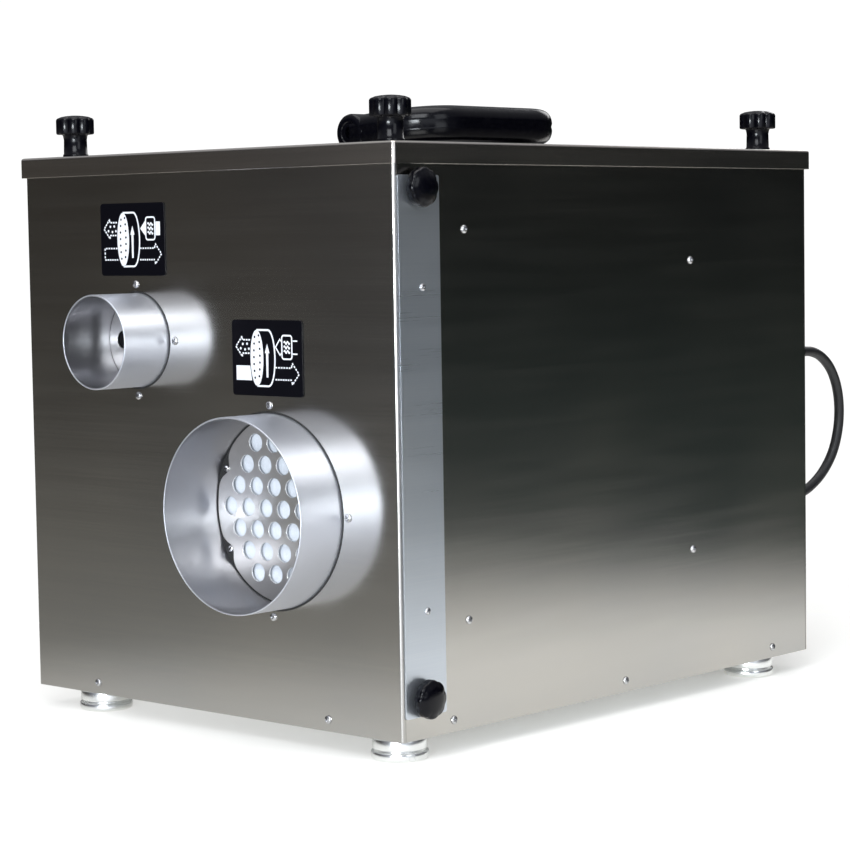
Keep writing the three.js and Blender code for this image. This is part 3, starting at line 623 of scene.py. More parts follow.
def coil_points(step=10):
    """Five turns of flat spiral: two inwards on the floor, two outwards on top of them, and one above."""
    radius = COIL_START
    low, middle, high = COIL_LAYERS
    points = []
    for degrees in range(0, 1800, step):
        first_rise, second_rise = eased((degrees - 720) / 60), eased((degrees - 1500) / 60)
        height = low + (middle - low) * first_rise + (high - middle) * second_rise
        angle = math.radians(-90 - degrees)
        x, y = COIL_CENTRE[0] + radius * math.cos(angle), COIL_CENTRE[1] + radius * math.sin(angle)
        points.append(Vector((x, y, height)))
        outwards = clamped((degrees - 740) / 80) - clamped((degrees - 1530) / 80)
        radius += (2 * outwards - 1) * COIL_PITCH * step / 360
    return points, radius


def cord_points():
    """The cord's centreline from the gland to the plug, in case millimetres."""
    turns, last_radius = coil_points()
    leaving = Vector((COIL_CENTRE[0], COIL_CENTRE[1] - last_radius, COIL_LAYERS[2]))
    way = PLUG_START + X - leaving
    tail = []
    for i in range(7):
        share = i / 6
        sway = eased(share)
        tail.append(leaving + Vector((way.x * share, way.y * sway, way.z * sway)))
    return smooth_path(CORD_ROUTE, 5) + turns + tail


def mains_cord():
    curve = bpy.data.curves.new("mains_cord", "CURVE")
    curve.dimensions = "3D"
    curve.bevel_depth = CORD_RADIUS * MM
    curve.bevel_resolution = 5
    curve.use_fill_caps = True
    points = cord_points()
    spline = curve.splines.new("POLY")
    spline.points.add(len(points) - 1)
    for target, point in zip(spline.points, points):
        target.co = (*to_row(point), 1)
    spline.use_smooth = True
    curve.materials.append(CORD_RUBBER)
    cord = add_object("mains_cord", curve)
    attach(cord, "case")
    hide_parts("cord_tube", "cord_coil")
    relief = cord_gland()
    plug, pins = mains_plug()


def cord_gland():
    """Lock ring against the panel, then a tapered bend protector with rings moulded into it."""
    base = HALF_Y + PLAY
    length = GLAND_REACH - base
    profile = [(0, 0), (12.4, 0), (13, 0.6), (13, 6.2), (12.2, 7), (10.5, 7.4), (10.5, 13.2), (9.9, 14)]
    height = 15.0
    while height < length - 3.5:
        radius = 9.2 - 3.0 * (height - 15) / (length - 18)
        groove = radius - 1.1
        profile += [(radius, height), (radius, height + 1.5), (groove, height + 1.9), (groove, height + 2.7)]
        height += 3.1
    profile += [(6.2, height), (6.2, length - 0.8), (5.6, length), (0, length)]
    bm = lathe(profile, (GLAND.x, base, GLAND.z), Y, 48)
    return finish(bm, "cord_bend_protector", BLACK_PLASTIC, "case", ["cord_gland"])


def mains_plug():
    """A straight moulded plug lying on the floor, its two round pins pointing along -X."""
    profile = [(0, 0), (5.8, 0), (6.2, 0.5)]
    height = 3.0
    while height < 31:
        radius = 6.2 + 1.3 * height / 34
        groove = radius - 0.9
        profile += [(radius, height), (radius, height + 2.2), (groove, height + 2.7), (groove, height + 3.6)]
        height += 4.3
    profile += [(7.6, 34), (10.6, 35.6), (12.6, 41), (13.6, 48), (16.6, 53.5), (18.4, 57)]
    profile += [(19, 59.5), (19, 79.5), (18.4, 81.2), (17.2, 82), (14, 82), (13.4, 81.2), (0, 81.2)]

    def gripped(angle, radius, height):
        return radius - (0.35 * (1 - math.cos(16 * angle)) if 40 < height < 54 else 0.0)

    bm = lathe(profile, PLUG_START, -X, 96, gripped)
    body = finish(bm, "plug_body", CORD_RUBBER, "case", ["mains_plug"])
    pins = bmesh.new()
    for side in (-9.5, 9.5):
        pin = [(0, 78), (2.4, 78), (2.4, 98.4), (1.8, 99.6), (0, 100)]
        lathe(pin, PLUG_START + side * Y, -X, 24, bm=pins)
    return body, finish(pins, "plug_pins", SCREW_STEEL, "case")


# ---- Case panels ----
def bent_panel(side):
    """The front (-1) or rear (1) panel: one sheet with its edges bent round the corners."""
    bend_end = HALF_Y - BEND - 0.4
    x, y, inner = HALF_X - BEND, HALF_Y - BEND, BEND - SHEET
    outline = [(-HALF_X, bend_end)] + arc(-x, y, BEND, BEND, 180, 90, 8) + arc(x, y, BEND, BEND, 90, 0, 8)
    outline += [(HALF_X, bend_end), (HALF_X - SHEET, bend_end)]
    outline += arc(x, y, inner, inner, 0, 90, 8) + arc(-x, y, inner, inner, 90, 180, 8)
    outline.append((-HALF_X + SHEET, bend_end))
    flipped = [(a, side * b) for a, b in outline]
    return plate([flipped], (0, 0, FOOT_HEIGHT), X, Y, PANEL_TOP - FOOT_HEIGHT)


def panel_flange(bm, side):
    """The bent-in top flange with its two tabs that the lid knobs screw into."""
    edge, flange, tab, reach = HALF_X - BEND, 15, 43, HALF_Y - SHEET
    outer = reach + 0.01
    knob = case_centre("lid_knob_front_right")
    outline = [
        (-edge, outer), (edge, outer), (edge, reach - tab), (edge - tab, reach - tab),
        (edge - tab, reach - flange), (tab - edge, reach - flange), (tab - edge, reach - tab),
        (-edge, reach - tab),
    ]
    loops = [outline] + [circle(x, -knob.y, LID_STUD_HOLE, 24) for x in (knob.x, -knob.x)]
    flipped = [[(x, side * y) for x, y in loop] for loop in loops]
    plate(flipped, (0, 0, PANEL_TOP - SHEET), X, Y, SHEET, bm)


def duct_hole(spec):
    return drum(spec["root"], Y, spec["radius"] + DUCT_GAP, -6, 6, 96)


def case_panels():
    front = subtract(bent_panel(-1), duct_hole(PROCESS_INLET), duct_hole(REGEN_INLET))
    controls, half = case_centre("control_plate"), Vector((58, 6, 40))
    controls.y = HALF_Y
    opening = box(controls - half, controls + half)
    gland_hole = drum((GLAND.x, HALF_Y, GLAND.z), Y, GLAND_HOLE, -6, 6, 48)
    rear = subtract(bent_panel(1), duct_hole(DRY_OUTLET), duct_hole(WET_OUTLET), gland_hole, opening)
    for where, side, panel in (("front", -1, front), ("rear", 1, rear)):
        panel_flange(panel, side)
        finish(panel, where + "_face", STEEL, "case", [where + "_panel"], flat=True)


def lid_cover():
    """The lid: flat top, rolled edge and a straight skirt, all of one sheet.
    Its levels are (inset, height, corner radius), from the underside round the skirt's edge to the top."""
    top, bottom, bend, edge = LID_HIGH.z, LID_LOW.z, 2.2, 0.12
    levels = [
        (SHEET + 1.5, top - SHEET, 1.0), (SHEET, top - SHEET - 1.5, 1.5), (SHEET, bottom + edge, 1.5),
        (SHEET - edge, bottom, 1.6), (edge, bottom, 2.9), (0, bottom + edge, BEND),
    ]
    levels += [(bend - a, top - bend + b, BEND) for a, b in arc(0, 0, bend, bend, 0, 90, 6)]
    bm = bmesh.new()
    rings = []
    for inset, height, radius in levels:
        outline = rounded_rectangle(LID_HIGH.x - inset, LID_HIGH.y - inset, radius, steps=8)
        rings.append([bm.verts.new((x, y, height)) for x, y in outline])
    skin(bm, rings)
    # Painted light: the skirt gets the lighter steel and the top the plain one.
    lid = finish(bm, "lid_cover_sheet", SKIRT_PAINTED_LIGHT, "lid_cover", ["lid"], sharp=40, flat=True)
    second_material(lid, LID_STEEL, lambda polygon: abs(polygon.normal.z) > 0.9)


# ---- Screws ----
def screw_template(radius):
    """A pan-head screw about +Z with its cross recess, in millimetres."""
    height = 0.62 * radius
    dome = arc(0, 0.12 * height, radius, 0.88 * height, 0, 90, 6)
    profile = [(0, -0.5), (radius, -0.5), *dome[:-1], (0, height)]
    long, thin, deep = 0.6 * radius, 0.15 * radius, 0.2 * height
    slots = [box((-a, -b, deep), (a, b, height + 1)) for a, b in ((long, thin), (thin, long))]
    return subtract(lathe(profile, (0, 0, 0), Z, 28), *slots)


def screws(name, body, radius, rng, places):
    """One piece of all the screws of a face, turned at random. Places are (position, outward direction)."""
    mesh = to_mesh(screw_template(radius), "screw")
    bm = bmesh.new()
    for position, direction in places:
        spin = Matrix.Rotation(math.radians(rng.uniform(0, 90)), 4, "Z")
        tilt = Matrix((*basis(direction), direction)).transposed().to_4x4()
        start = len(bm.verts)
        bm.from_mesh(mesh)
        bm.verts.ensure_lookup_table()
        bmesh.ops.transform(bm, verts=bm.verts[start:], matrix=Matrix.Translation(position) @ tilt @ spin)
    bpy.data.meshes.remove(mesh)
    finish(bm, name, SCREW_STEEL, body, sharp=38)


def all_screws():
    rng = random.Random(7)
    low_row, low_spacing = FOOT_HEIGHT + 9.5, 139
    for name, outward, ducts in (
        ("front_screws", -Y, (PROCESS_INLET, REGEN_INLET)),
        ("rear_screws", Y, (DRY_OUTLET, WET_OUTLET)),
    ):
        places = []
        for spec in ducts:
            ring = circle(spec["root"].x, spec["root"].z, spec["screw_ring"], 4)
            places += [((x, outward.y * HALF_Y, z), outward) for x, z in ring]
        places += [((x, outward.y * HALF_Y, low_row), outward) for x in (-low_spacing, low_spacing)]
        screws(name, "case", SCREW_RADIUS, rng, places)
    side = [(-199.5, 414), (99.4, 384.4), (100.3, 130.6), (-200.2, 104.7)]
    side += [(y, low_row) for y in (-220, 2, 222)]
    for name, x, outward in (("right_screws", HALF_X, X), ("left_screws", -HALF_X, -X)):
        screws(name, "case", SCREW_RADIUS, rng, [((x, y, z), outward) for y, z in side])
    outer = case_box("filter_hatch")[1].x
    screws("hatch_screws", "filter_drawer", 3.0, rng, [((outer, -251, z), X) for z in (118, 369.7)])


# ---- Ducts ----
def duct_spigot(spec):
    """A rolled tube through the panel with a flange inside it, a rounded rim and a seal round it."""
    node, root, outward = spec["node"], spec["root"], spec["outward"]
    r, reach, lip = spec["radius"], spec["reach"], spec["lip"]
    bore, flange = r - DUCT_WALL, r + DUCT_FLANGE
    near, far = -SHEET - PLAY, -2 * SHEET - PLAY
    profile = [
        (bore - lip, -DUCT_INSIDE), (r, -DUCT_INSIDE), (r, far), (flange - 0.4, far), (flange, far + 0.4),
        (flange, near - 0.4), (flange - 0.4, near), (r + 0.6, near), (r + 0.15, near + 0.2), (r, near + 0.6),
        (r, reach - 0.7), (r - 0.22, reach - 0.2), (r - 0.75, reach), (bore + 0.22, reach - 0.2),
        (bore, reach - 0.7),
    ]
    if lip:
        profile += [(bore, DUCT_WALL - DUCT_INSIDE), (bore - lip, DUCT_WALL - DUCT_INSIDE)]
    bm = lathe(profile + profile[:1], root, outward, 128)
    tube = finish(bm, node + "_tube", DUCT_STEEL, "case", [node], sharp=50, flat=True)
    axis = to_row((root.x, 0, root.z))

    def in_shaded_bore(polygon):
        inward = axis - polygon.center
        inward.y = 0
        return polygon.normal.dot(inward.normalized()) > 0.9

    # Painted shade: the faces inside the bore get the darker steel.
    second_material(tube, BORE_PAINTED_SHADE, in_shaded_bore)
    inner, outer = r + 0.3, r + DUCT_GAP - 0.1
    section = [(inner, -1.7), (outer, -1.7), (outer, -0.5), (outer - 0.4, -0.1), (inner, -0.1), (inner, -1.7)]
    finish(lathe(section, root, outward, 128), node + "_seal", BELT_RUBBER, "case", sharp=50)


def hole_centres(pitch, limit):
    """Centres of staggered holes that lie within a limit from the middle."""
    row_step = pitch * math.sqrt(3) / 2
    rows, count = int(limit // row_step), math.ceil(limit / pitch)
    centres = []
    for row in range(-rows, rows + 1):
        shift = pitch / 2 if row % 2 else 0
        centres += [(i * pitch + shift, row * row_step) for i in range(-count, count + 1)]
    return [centre for centre in centres if math.hypot(*centre) <= limit]


def perforated_disc(name, back, radius, thickness, reach, replaced=()):
    """A round plate facing the inlets' side, pierced by staggered holes whose centres stay within reach."""
    hole_radius, pitch = 7.5, 20.5
    loops = [circle(0, 0, radius, 96)]
    loops += [circle(a, b, hole_radius, 28) for a, b in hole_centres(pitch, reach)]
    bm = plate(loops, back, X, Z, thickness)
    finish(bm, name, PLATE_STEEL, "case", replaced, bevel=0.25)


def small_inlet_screen():
    """The small inlet's pierced plate just behind the panel, with a near-black disc behind it as painted
    shade in the inlet.
    """
    root, bore = REGEN_INLET["root"], REGEN_INLET["radius"] - DUCT_WALL - PLAY
    perforated_disc("small_inlet_plate", root + 3.4 * Y, bore, 1.2, 24)
    # Painted shade: a near-black disc that darkens the inlet behind its plate.
    bm = lathe([(0, -6.5), (bore, -6.5), (bore, -4.3), (bore - 0.3, -4), (0, -4)], root, -Y, 96)
    finish(bm, "small_inlet_painted_shade", INLET_PAINTED_SHADE, "case", sharp=50)


def perforated_plate():
    """The big inlet's pierced plate with its edge ring, painted shade beside its screws, and the two screws
    that show.
    """
    low, high = case_box("inlet_perforated_plate")
    centre, radius, thickness = (low + high) / 2, (high.x - low.x) / 2, high.y - low.y
    face = centre - Y * thickness / 2
    screw_places = [(-65.5, 30.5), (-62.5, -36.0)]
    back = face + Y * thickness
    perforated_disc("inlet_plate", back, radius - 0.3, thickness, 66, ["inlet_perforated_plate"])
    places = [(face + a * X + b * Z, -Y) for a, b in screw_places]
    screws("inlet_plate_screws", "case", 3.2, random.Random(3), places)
    plate_ring_and_screw_shade(face, radius - 0.4, screw_places)


def plate_ring_and_screw_shade(face, radius, screw_places):
    """A black rubber ring round the perforated plate's edge, widened under its screws into lobes that are
    painted shade beside them.
    """
    count = 160
    inner = []
    for i in range(count):
        angle = 2 * math.pi * i / count
        width = 1.6
        for a, b in screw_places:
            apart = math.remainder(math.atan2(b, a) - angle, 2 * math.pi)
            # Painted shade: the ring widens into black lobes where the shade beside each screw falls.
            width += 7.0 * math.exp(-((apart / 0.11) ** 2))
        inner.append(((radius - width) * math.cos(angle), (radius - width) * math.sin(angle)))
    bm = plate([circle(0, 0, radius, count), inner], face, X, Z, 0.4)
    finish(bm, "inlet_plate_ring_and_screw_shade", BELT_RUBBER, "case")


# ---- Knobs ----
LID_KNOB = {
    "radius": 16.5, "neck_radius": 11.0, "neck_height": 20.0, "head_height": 15.0, "crown": 1.5,
    "lobe_depth": 2.4, "stud_radius": 4.0, "stud_length": 24.0,
}
HATCH_KNOB = {
    "radius": 15.5, "neck_radius": 9.0, "neck_height": 2.3, "head_height": 8.1, "crown": 2.0,
    "lobe_depth": 0.9, "stud_radius": 3.0, "stud_length": 16.0,
}


def star_knob(origin, direction, size):
    """A moulded hand knob: neck with a foot ring, undercut, eight-lobed head and a low crown."""
    r, n, neck, head = size["radius"], size["neck_radius"], size["neck_height"], size["head_height"]
    top, crown = neck + head, size["crown"]
    shoulder = min(3.2, 0.35 * head)

    def lobed(angle, radius, height):
        if height < neck - 0.2:
            return radius
        share = clamped((radius / r - 0.62) / 0.3)
        return radius - size["lobe_depth"] * share * (1 - abs(math.cos(4 * angle))) ** 1.25

    profile = [(0, 0), (n - 0.3, 0), (n, 0.3)]
    if neck > 8:
        profile += [(n, 2.4), (n - 0.7, 3.0), (n - 1.0, neck - 4.5), (n - 0.4, neck - 1.4)]
    profile += [(n, neck - 0.6), (n + 0.9, neck), (r - 1.2, neck), (r - 0.35, neck + 0.35), (r, neck + 1.2)]
    profile += arc(r - 2.6, top - shoulder, 2.6, 0.82 * shoulder, 0, 90, 6)[:-1]
    profile += [(r - 3.4, top - 0.1), (0.72 * r, top + 0.25 * crown), (0.5 * r, top + 0.65 * crown)]
    profile += [(0.25 * r, top + 0.92 * crown), (0, top + crown)]
    return lathe(profile, origin, direction, 96, lobed)


def threaded_stud(origin, direction, radius, length):
    """A stud with rolled thread rings, pointing against the direction."""
    root = radius - 0.55
    profile = [(0, -length), (radius - 0.9, -length), (root, -length + 0.8)]
    height = -length + 1.2
    while height < -1.4:
        profile += [(root, height), (radius, height + 0.45), (radius, height + 0.6), (root, height + 1.05)]
        height += 1.25
    profile += [(radius - 0.5, -0.1), (0, -0.1)]
    return lathe(profile, origin, direction, 28)


def knob_with_stud(node, origin, direction, size, body):
    head = star_knob(origin, direction, size)
    finish(head, node + "_head", BLACK_PLASTIC, body, [node], sharp=50)
    stud = threaded_stud(origin, direction, size["stud_radius"], size["stud_length"])
    finish(stud, node + "_stud", SCREW_STEEL, body, sharp=60)


def all_knobs():
    for corner in ("front_left", "front_right", "rear_left", "rear_right"):
        node = "lid_knob_" + corner
        centre = case_centre(node)
        knob_with_stud(node, (centre.x, centre.y, LID_HIGH.z + PLAY), Z, LID_KNOB, "knob_" + corner)
    outer = case_box("filter_hatch")[1].x + PLAY
    for where in ("lower", "upper"):
        node = "hatch_knob_" + where
        centre = case_centre(node)
        knob_with_stud(node, (outer, centre.y, centre.z), X, HATCH_KNOB, "knob_hatch_" + where)


# ---- Carrying handle ----
HANDLE_HALF = 98.7
HANDLE_REACH = 92.0
HANDLE_BAR = 15.5
HANDLE_CORNER = 32.5
HANDLE_HUB = 16.5
HANDLE_AXIS_Z = LID_HIGH.z + 17.5


def handle_path(count):
    """Centre points along the handle, from the front hub round to the rear hub."""
    arm_y, grip_x = HANDLE_HALF - HANDLE_BAR, HANDLE_REACH - HANDLE_BAR
    corner = HANDLE_CORNER
    arm, bend = grip_x - corner, math.pi / 2 * corner
    half = arm + bend + arm_y - corner
    points = []
    for i in range(count + 1):
        s = 2 * half * i / count
        sign, d = (-1, s) if s <= half else (1, 2 * half - s)
        if d <= arm:
            x, y = d, arm_y
        elif d <= arm + bend:
            angle = (d - arm) / corner
            x, y = arm + corner * math.sin(angle), arm_y - corner * (1 - math.cos(angle))
        else:
            x, y = grip_x, arm_y - corner - (d - arm - bend)
        rise = 6.0 * min(1.0, x / grip_x)
        points.append(Vector((x, sign * y, HANDLE_AXIS_Z + rise)))
    return points


def handle_section(count):
    """A rounded-square outline with the moulding line as a shallow groove at mid height."""
    outline = []
    for c, s in circle(0, 0, 1, count):
        a, b = (math.copysign(abs(part) ** (2 / 2.7), part) for part in (c, s))
        groove = 0.055 * math.exp(-((b / 0.07) ** 2))
        outline.append((a * (1 - groove), b))
    return outline


def carry_handle():
    points = handle_path(120)
    section = handle_section(56)
    bar, hub = HANDLE_BAR, HANDLE_HUB
    bm = bmesh.new()
    rings = []
    for i, point in enumerate(points):
        ahead = (points[min(i + 1, len(points) - 1)] - points[max(i - 1, 0)]).normalized()
        side = ahead.cross(Z).normalized()
        up = side.cross(ahead)
        rings.append([bm.verts.new(point + side * (bar * a) + up * (bar * b)) for a, b in section])
    skin(bm, rings)
    profile = [
        (5.4, 0), (hub - 1.5, 0), (hub - 0.4, 0.4), (hub, 1.5), (hub, 27.5), (hub - 0.5, 29.3),
        (hub - 2, 30.6), (hub - 4.5, 31), (hub - 6.5, 31), (hub - 7.2, 30.2), (5.4, 30.2), (5.4, 0),
    ]
    for side in (-1, 1):
        lathe(profile, (0, side * (HANDLE_HALF - 2 * bar), HANDLE_AXIS_Z), Y * side, 64, bm=bm)
    finish(bm, "carry_grip", BLACK_PLASTIC, "handle", ["carry_handle"], sharp=46)


# ---- Feet ----
def all_feet():
    top = FOOT_HEIGHT - PLAY
    profile = [
        (0, 0.6), (17, 0.6), (17.6, 0), (20.6, 0), (22.0, 0.5), (22.8, 1.6), (23, 3.0), (22.9, 5.8),
        (22.4, 6.7), (21.4, 7.1), (20.7, 7.2), (20.6, 7.9), (21.2, 8.1), (21.7, 8.6), (22, 9.6),
        (21.8, top - 1.4), (21.3, top - 0.4), (20.4, top), (4, top), (4, top + 10), (0, top + 10),
    ]
    for corner in ("front_left", "front_right", "rear_left", "rear_right"):
        node = "foot_" + corner
        centre = case_centre(node)
        bm = lathe(profile, (centre.x, centre.y, 0), Z, 96)
        finish(bm, node + "_cup", POLISHED, "case", [node], sharp=50)


# ---- Filter drawer ----
def hatch_strip():
    low, high = case_box("filter_hatch")
    centre, half = (low + high) / 2, (high - low) / 2
    loops = [rounded_rectangle(half.y, half.z, 2)]
    for where in ("lower", "upper"):
        knob = case_centre("hatch_knob_" + where) - centre
        loops.append(circle(knob.y, knob.z, HATCH_STUD_HOLE, 24))
    bm = plate(loops, centre - X * half.x, Y, Z, high.x - low.x)
    finish(bm, "hatch_strip", HATCH_STEEL, "filter_drawer", ["filter_hatch"], bevel=0.35)


def fleece_pad():
    """The filter medium: two softly tufted faces joined round their edge."""
    low, high = case_box("filter_medium")
    size = high - low
    columns, rows = 44, 40
    bm = bmesh.new()
    sides = []
    for y, inward in ((low.y, 1), (high.y, -1)):
        grid = []
        for i in range(columns + 1):
            for j in range(rows + 1):
                a, b = i / columns, j / rows
                edge = min(1.0, 8 * min(a, 1 - a, b, 1 - b))
                tuft = math.sin(7 * math.pi * a) * math.sin(7 * math.pi * b)
                swell = 1.2 * (1 - edge) + 0.5 * abs(tuft) * edge
                grid.append(bm.verts.new((low.x + a * size.x, y + inward * swell, low.z + b * size.z)))
        for i in range(columns):
            for j in range(rows):
                k = i * (rows + 1) + j
                bm.faces.new((grid[k], grid[k + 1], grid[k + rows + 2], grid[k + rows + 1]))
        sides.append(grid)
    step = rows + 1
    last = columns * step
    rim = [*range(0, last, step), *range(last, last + rows)]
    rim += [*range(last + rows, rows, -step), *range(rows, 0, -1)]
    bridge(bm, [sides[0][k] for k in rim], [sides[1][k] for k in rim])
    finish(bm, "fleece_pad", FLEECE, "filter_drawer", ["filter_medium"])


# ---- Pictograms ----
def area(loop):
    return sum(a[0] * b[1] - b[0] * a[1] for a, b in zip(loop, loop[1:] + loop[:1])) / 2


def stroke(points, width, closed=False):
    """The outline of a line of the given width through points."""
    points = [Vector(p) for p in points]
    count = len(points)
    left, right = [], []
    for i, point in enumerate(points):
        before = points[i - 1] if i or closed else None
        after = points[(i + 1) % count] if i + 1 < count or closed else None
        back = (point - before).normalized() if before is not None else (after - point).normalized()
        onward = (after - point).normalized() if after is not None else back
        corner = back + onward
        corner = corner.normalized() if corner.length > 1e-6 else onward
        square = Vector((-corner.y, corner.x))
        reach = width / 2 / max(0.5, abs(square.dot(Vector((-onward.y, onward.x)))))
        left.append(tuple(point + square * reach))
        right.append(tuple(point - square * reach))
    if closed:
        return [left, right] if abs(area(left)) > abs(area(right)) else [right, left]
    return [left + right[::-1]]


def dashed(points, width, dash, gap):
    """Short separate strokes along a line."""
    shapes = []
    for start, end in zip(points, points[1:]):
        start, end = Vector(start), Vector(end)
        pieces = max(1, round((end - start).length / (dash + gap)))
        along = (end - start) / pieces
        for i in range(pieces):
            first = start + along * i
            shapes.append(stroke([first, first + along * dash / (dash + gap)], width))
    return shapes


def rotor_symbol():
    """The rotor drum seen at a slant: a pierced face, and a dark rim with an arrow on it."""
    middle, half_a, half_b = -11.5, 7.4, 22.5
    face = [arc(middle, 0, half_a, half_b, 0, 360, 40)[:-1]]
    for row in (-16, -10.5, -5, 0.5, 6, 11.5, 16.8):
        span = 0.462 * half_a * math.sqrt(1 - (row / half_b) ** 2)
        face += [circle(middle - span, row, 1.05, 12), circle(middle + span, row + 1.3, 1.05, 12)]
    rim = [(middle, half_b)] + arc(1.5, 0, 7.6, half_b, 90, -90, 28) + [(middle, -half_b)]
    arrow = [(0.4, 11.5), (-2.4, 4.0), (-1.0, 4.0), (-0.8, -15.5), (1.3, -15.5), (1.6, 4.0), (3.0, 4.0)]
    return [face, stroke(rim, 1.5), [arrow]]


def heater_symbol(solid):
    """A round-cornered frame with the heating coil's waves in it, and its inlet and outlet."""
    shapes = [stroke(rounded_rectangle(5.6, 9.4, 2.2, 22.8, 9.0, 4), 1.3, closed=True)]
    for row in (-3.6, 0, 3.6):
        wave = [(22.8 + 3.4 * t / 6, 9.0 + row + 1.1 * math.sin(math.pi * t / 3)) for t in range(-6, 7)]
        shapes.append(stroke(wave, 1.15))
    if solid:
        shapes.append([[(10.2, 9.0), (16.4, 15.6), (16.4, 3.0)]])
        shapes.append([[(29.4, 14.6), (34.8, 14.6), (34.8, 3.2), (29.4, 3.2)]])
    else:
        funnel = [(16.6, 4.4), (15.0, 2.6), (10.0, 9.0), (15.0, 15.4), (16.6, 13.6)]
        for line in (funnel, [(29.4, 14.2), (34.6, 14.2)], [(29.4, 3.8), (34.6, 3.8)]):
            shapes.append(stroke(line, 1.1))
    return shapes


def wet_air_arrow():
    """An outlined arrow leaving the drum to the left, with drops in it."""
    arrow = [(-19, 14.4), (-28, 14.4), (-28.2, 17.2), (-35.5, 9), (-28.2, 0.8), (-28, 3.6), (-19, 3.6)]
    drops = [(-27.5, 11.0), (-22.6, 11.2), (-30.0, 7.4), (-25.0, 6.6), (-20.6, 7.2)]
    return dashed(arrow, 1.25, 1.9, 0.9) + [[circle(a, b, 1.05, 12)] for a, b in drops]


def pictogram(upper):
    """The white shapes of a plate; upper is the regeneration air's plate."""
    outgoing = [(9.6, -7.4), (27.6, -7.4), (28.4, -3.6), (36, -12.2), (28.4, -20.6), (27.6, -17), (8.2, -17)]
    shapes = rotor_symbol() + heater_symbol(upper) + wet_air_arrow() + dashed(outgoing, 1.25, 1.7, 1.2)
    if upper:
        return shapes + dashed([(-19.2, -7.4), (-35.0, -7.4), (-35.0, -17.0), (-17.4, -17.0)], 1.3, 1.7, 1.2)
    return shapes + [[[(-35.4, -6.4), (-19.4, -6.4), (-17.6, -18.2), (-35.4, -18.2)]]]


def pictogram_plate(name, base, outward, upper, replaced=()):
    """A black plate with rounded corners and the raised white pictogram on it."""
    across, thickness, ink = Z.cross(outward), 0.8, 0.06
    bm = plate([rounded_rectangle(40, 30.5, 3)], base, across, Z, thickness)
    finish(bm, name, BLACK_PLATE, "case", replaced, bevel=0.15)
    bm = bmesh.new()
    for loops in pictogram(upper):
        plate(loops, base + outward * thickness, across, Z, ink, bm)
    finish(bm, name + "_print", WHITE_PRINT, "case", sharp=30)


def all_pictograms():
    for where in ("upper", "lower"):
        node = "pictogram_plate_" + where
        centre, back = case_centre(node), case_box(node)[1].y
        base = Vector((centre.x, back, centre.z))
        pictogram_plate(where + "_plate", base, -Y, where == "upper", [node])
    for name, spec, z in (("rear_wet_plate", WET_OUTLET, 408), ("rear_dry_plate", DRY_OUTLET, 216)):
        base = Vector((spec["root"].x, HALF_Y + PLAY, z))
        pictogram_plate(name, base, Y, spec is WET_OUTLET)


# ---- Rear controls ----
def rear_controls():
    """The control plate with what sits in it and on it."""
    low, high = case_box("control_plate")
    centre, half = (low + high) / 2, (high - low) / 2
    face = centre + Y * half.y

    def on_plate(node):
        """Where a part sits on the plate as seen from behind."""
        offset = case_centre(node) - centre
        return Vector((-offset.x, offset.z))

    switch, meter, dial = (on_plate(node) for node in ("main_switch_housing", "hour_meter", "humidity_dial"))
    loops = [
        rounded_rectangle(half.x, half.z, 4),
        rounded_rectangle(11.4, 15.4, 0.5, *switch),
        rounded_rectangle(22.9, 12.4, 0.5, *meter),
        circle(*dial, 4, 24),
    ]
    bm = plate(loops, centre - Y * half.y, -X, Z, high.y - low.y)
    finish(bm, "rear_control_plate", BLACK_PLATE, "case", ["control_plate"], bevel=0.2)
    control_marks(face, switch, dial)
    meter_window(case_centre("hour_meter"))
    humidity_dial(case_centre("humidity_dial"), face.y + PLAY)
    indicator_lamp(face + Vector((-12, 0, 18)))
    humidistat_socket(face + Vector((-42, 0, -22)))


def control_marks(face, switch, dial):
    """The dial's scale, and the on and off marks above and below the switch."""
    marks = []
    for i in range(11):
        angle = math.radians(225 - 27 * i)
        direction = Vector((math.cos(angle), math.sin(angle)))
        end = 20.4 if i % 5 == 0 else 18.9
        marks.append(stroke([dial + direction * 16.6, dial + direction * end], 0.7))
    marks.append(stroke([switch + Vector((-0.01, 20.4)), switch + Vector((0, 24.4))], 0.8))
    marks.append(stroke(circle(switch.x, switch.y - 22.4, 1.9, 24), 0.7, closed=True))
    bm = bmesh.new()
    for loops in marks:
        plate(loops, face, -X, Z, 0.05, bm)
    finish(bm, "control_marks", WHITE_PRINT, "case")


def meter_window(meter):
    """The hour meter's five number wheels behind a small window frame."""
    face, width = case_box("hour_meter")[1].y, 6.2
    wheel = [(0, 0), (3.4, 0), (3.4, width - 0.5), (0, width - 0.5)]
    bm = bmesh.new()
    for i in range(5):
        lathe(wheel, (meter.x + width * (1 - i), face - 2.9, meter.z), X, 32, bm=bm)
    finish(bm, "meter_wheels", WHITE_PRINT, "case")
    loops = [rounded_rectangle(18.6, 6.6, 1.2), rounded_rectangle(16.6, 4.6, 0.6)]
    window = plate(loops, (meter.x, face - 0.01, meter.z), -X, Z, 0.9)
    finish(window, "meter_frame", BLACK_PLASTIC, "case", bevel=0.2)


def flutes(count, depth, low, high, least):
    """A lathe shape with flutes between two heights, wherever the radius is over the least one."""

    def shape(angle, radius, height):
        fluted = low < height < high and radius > least
        return radius - (depth * (1 - abs(math.cos(count / 2 * angle))) if fluted else 0.0)

    return shape


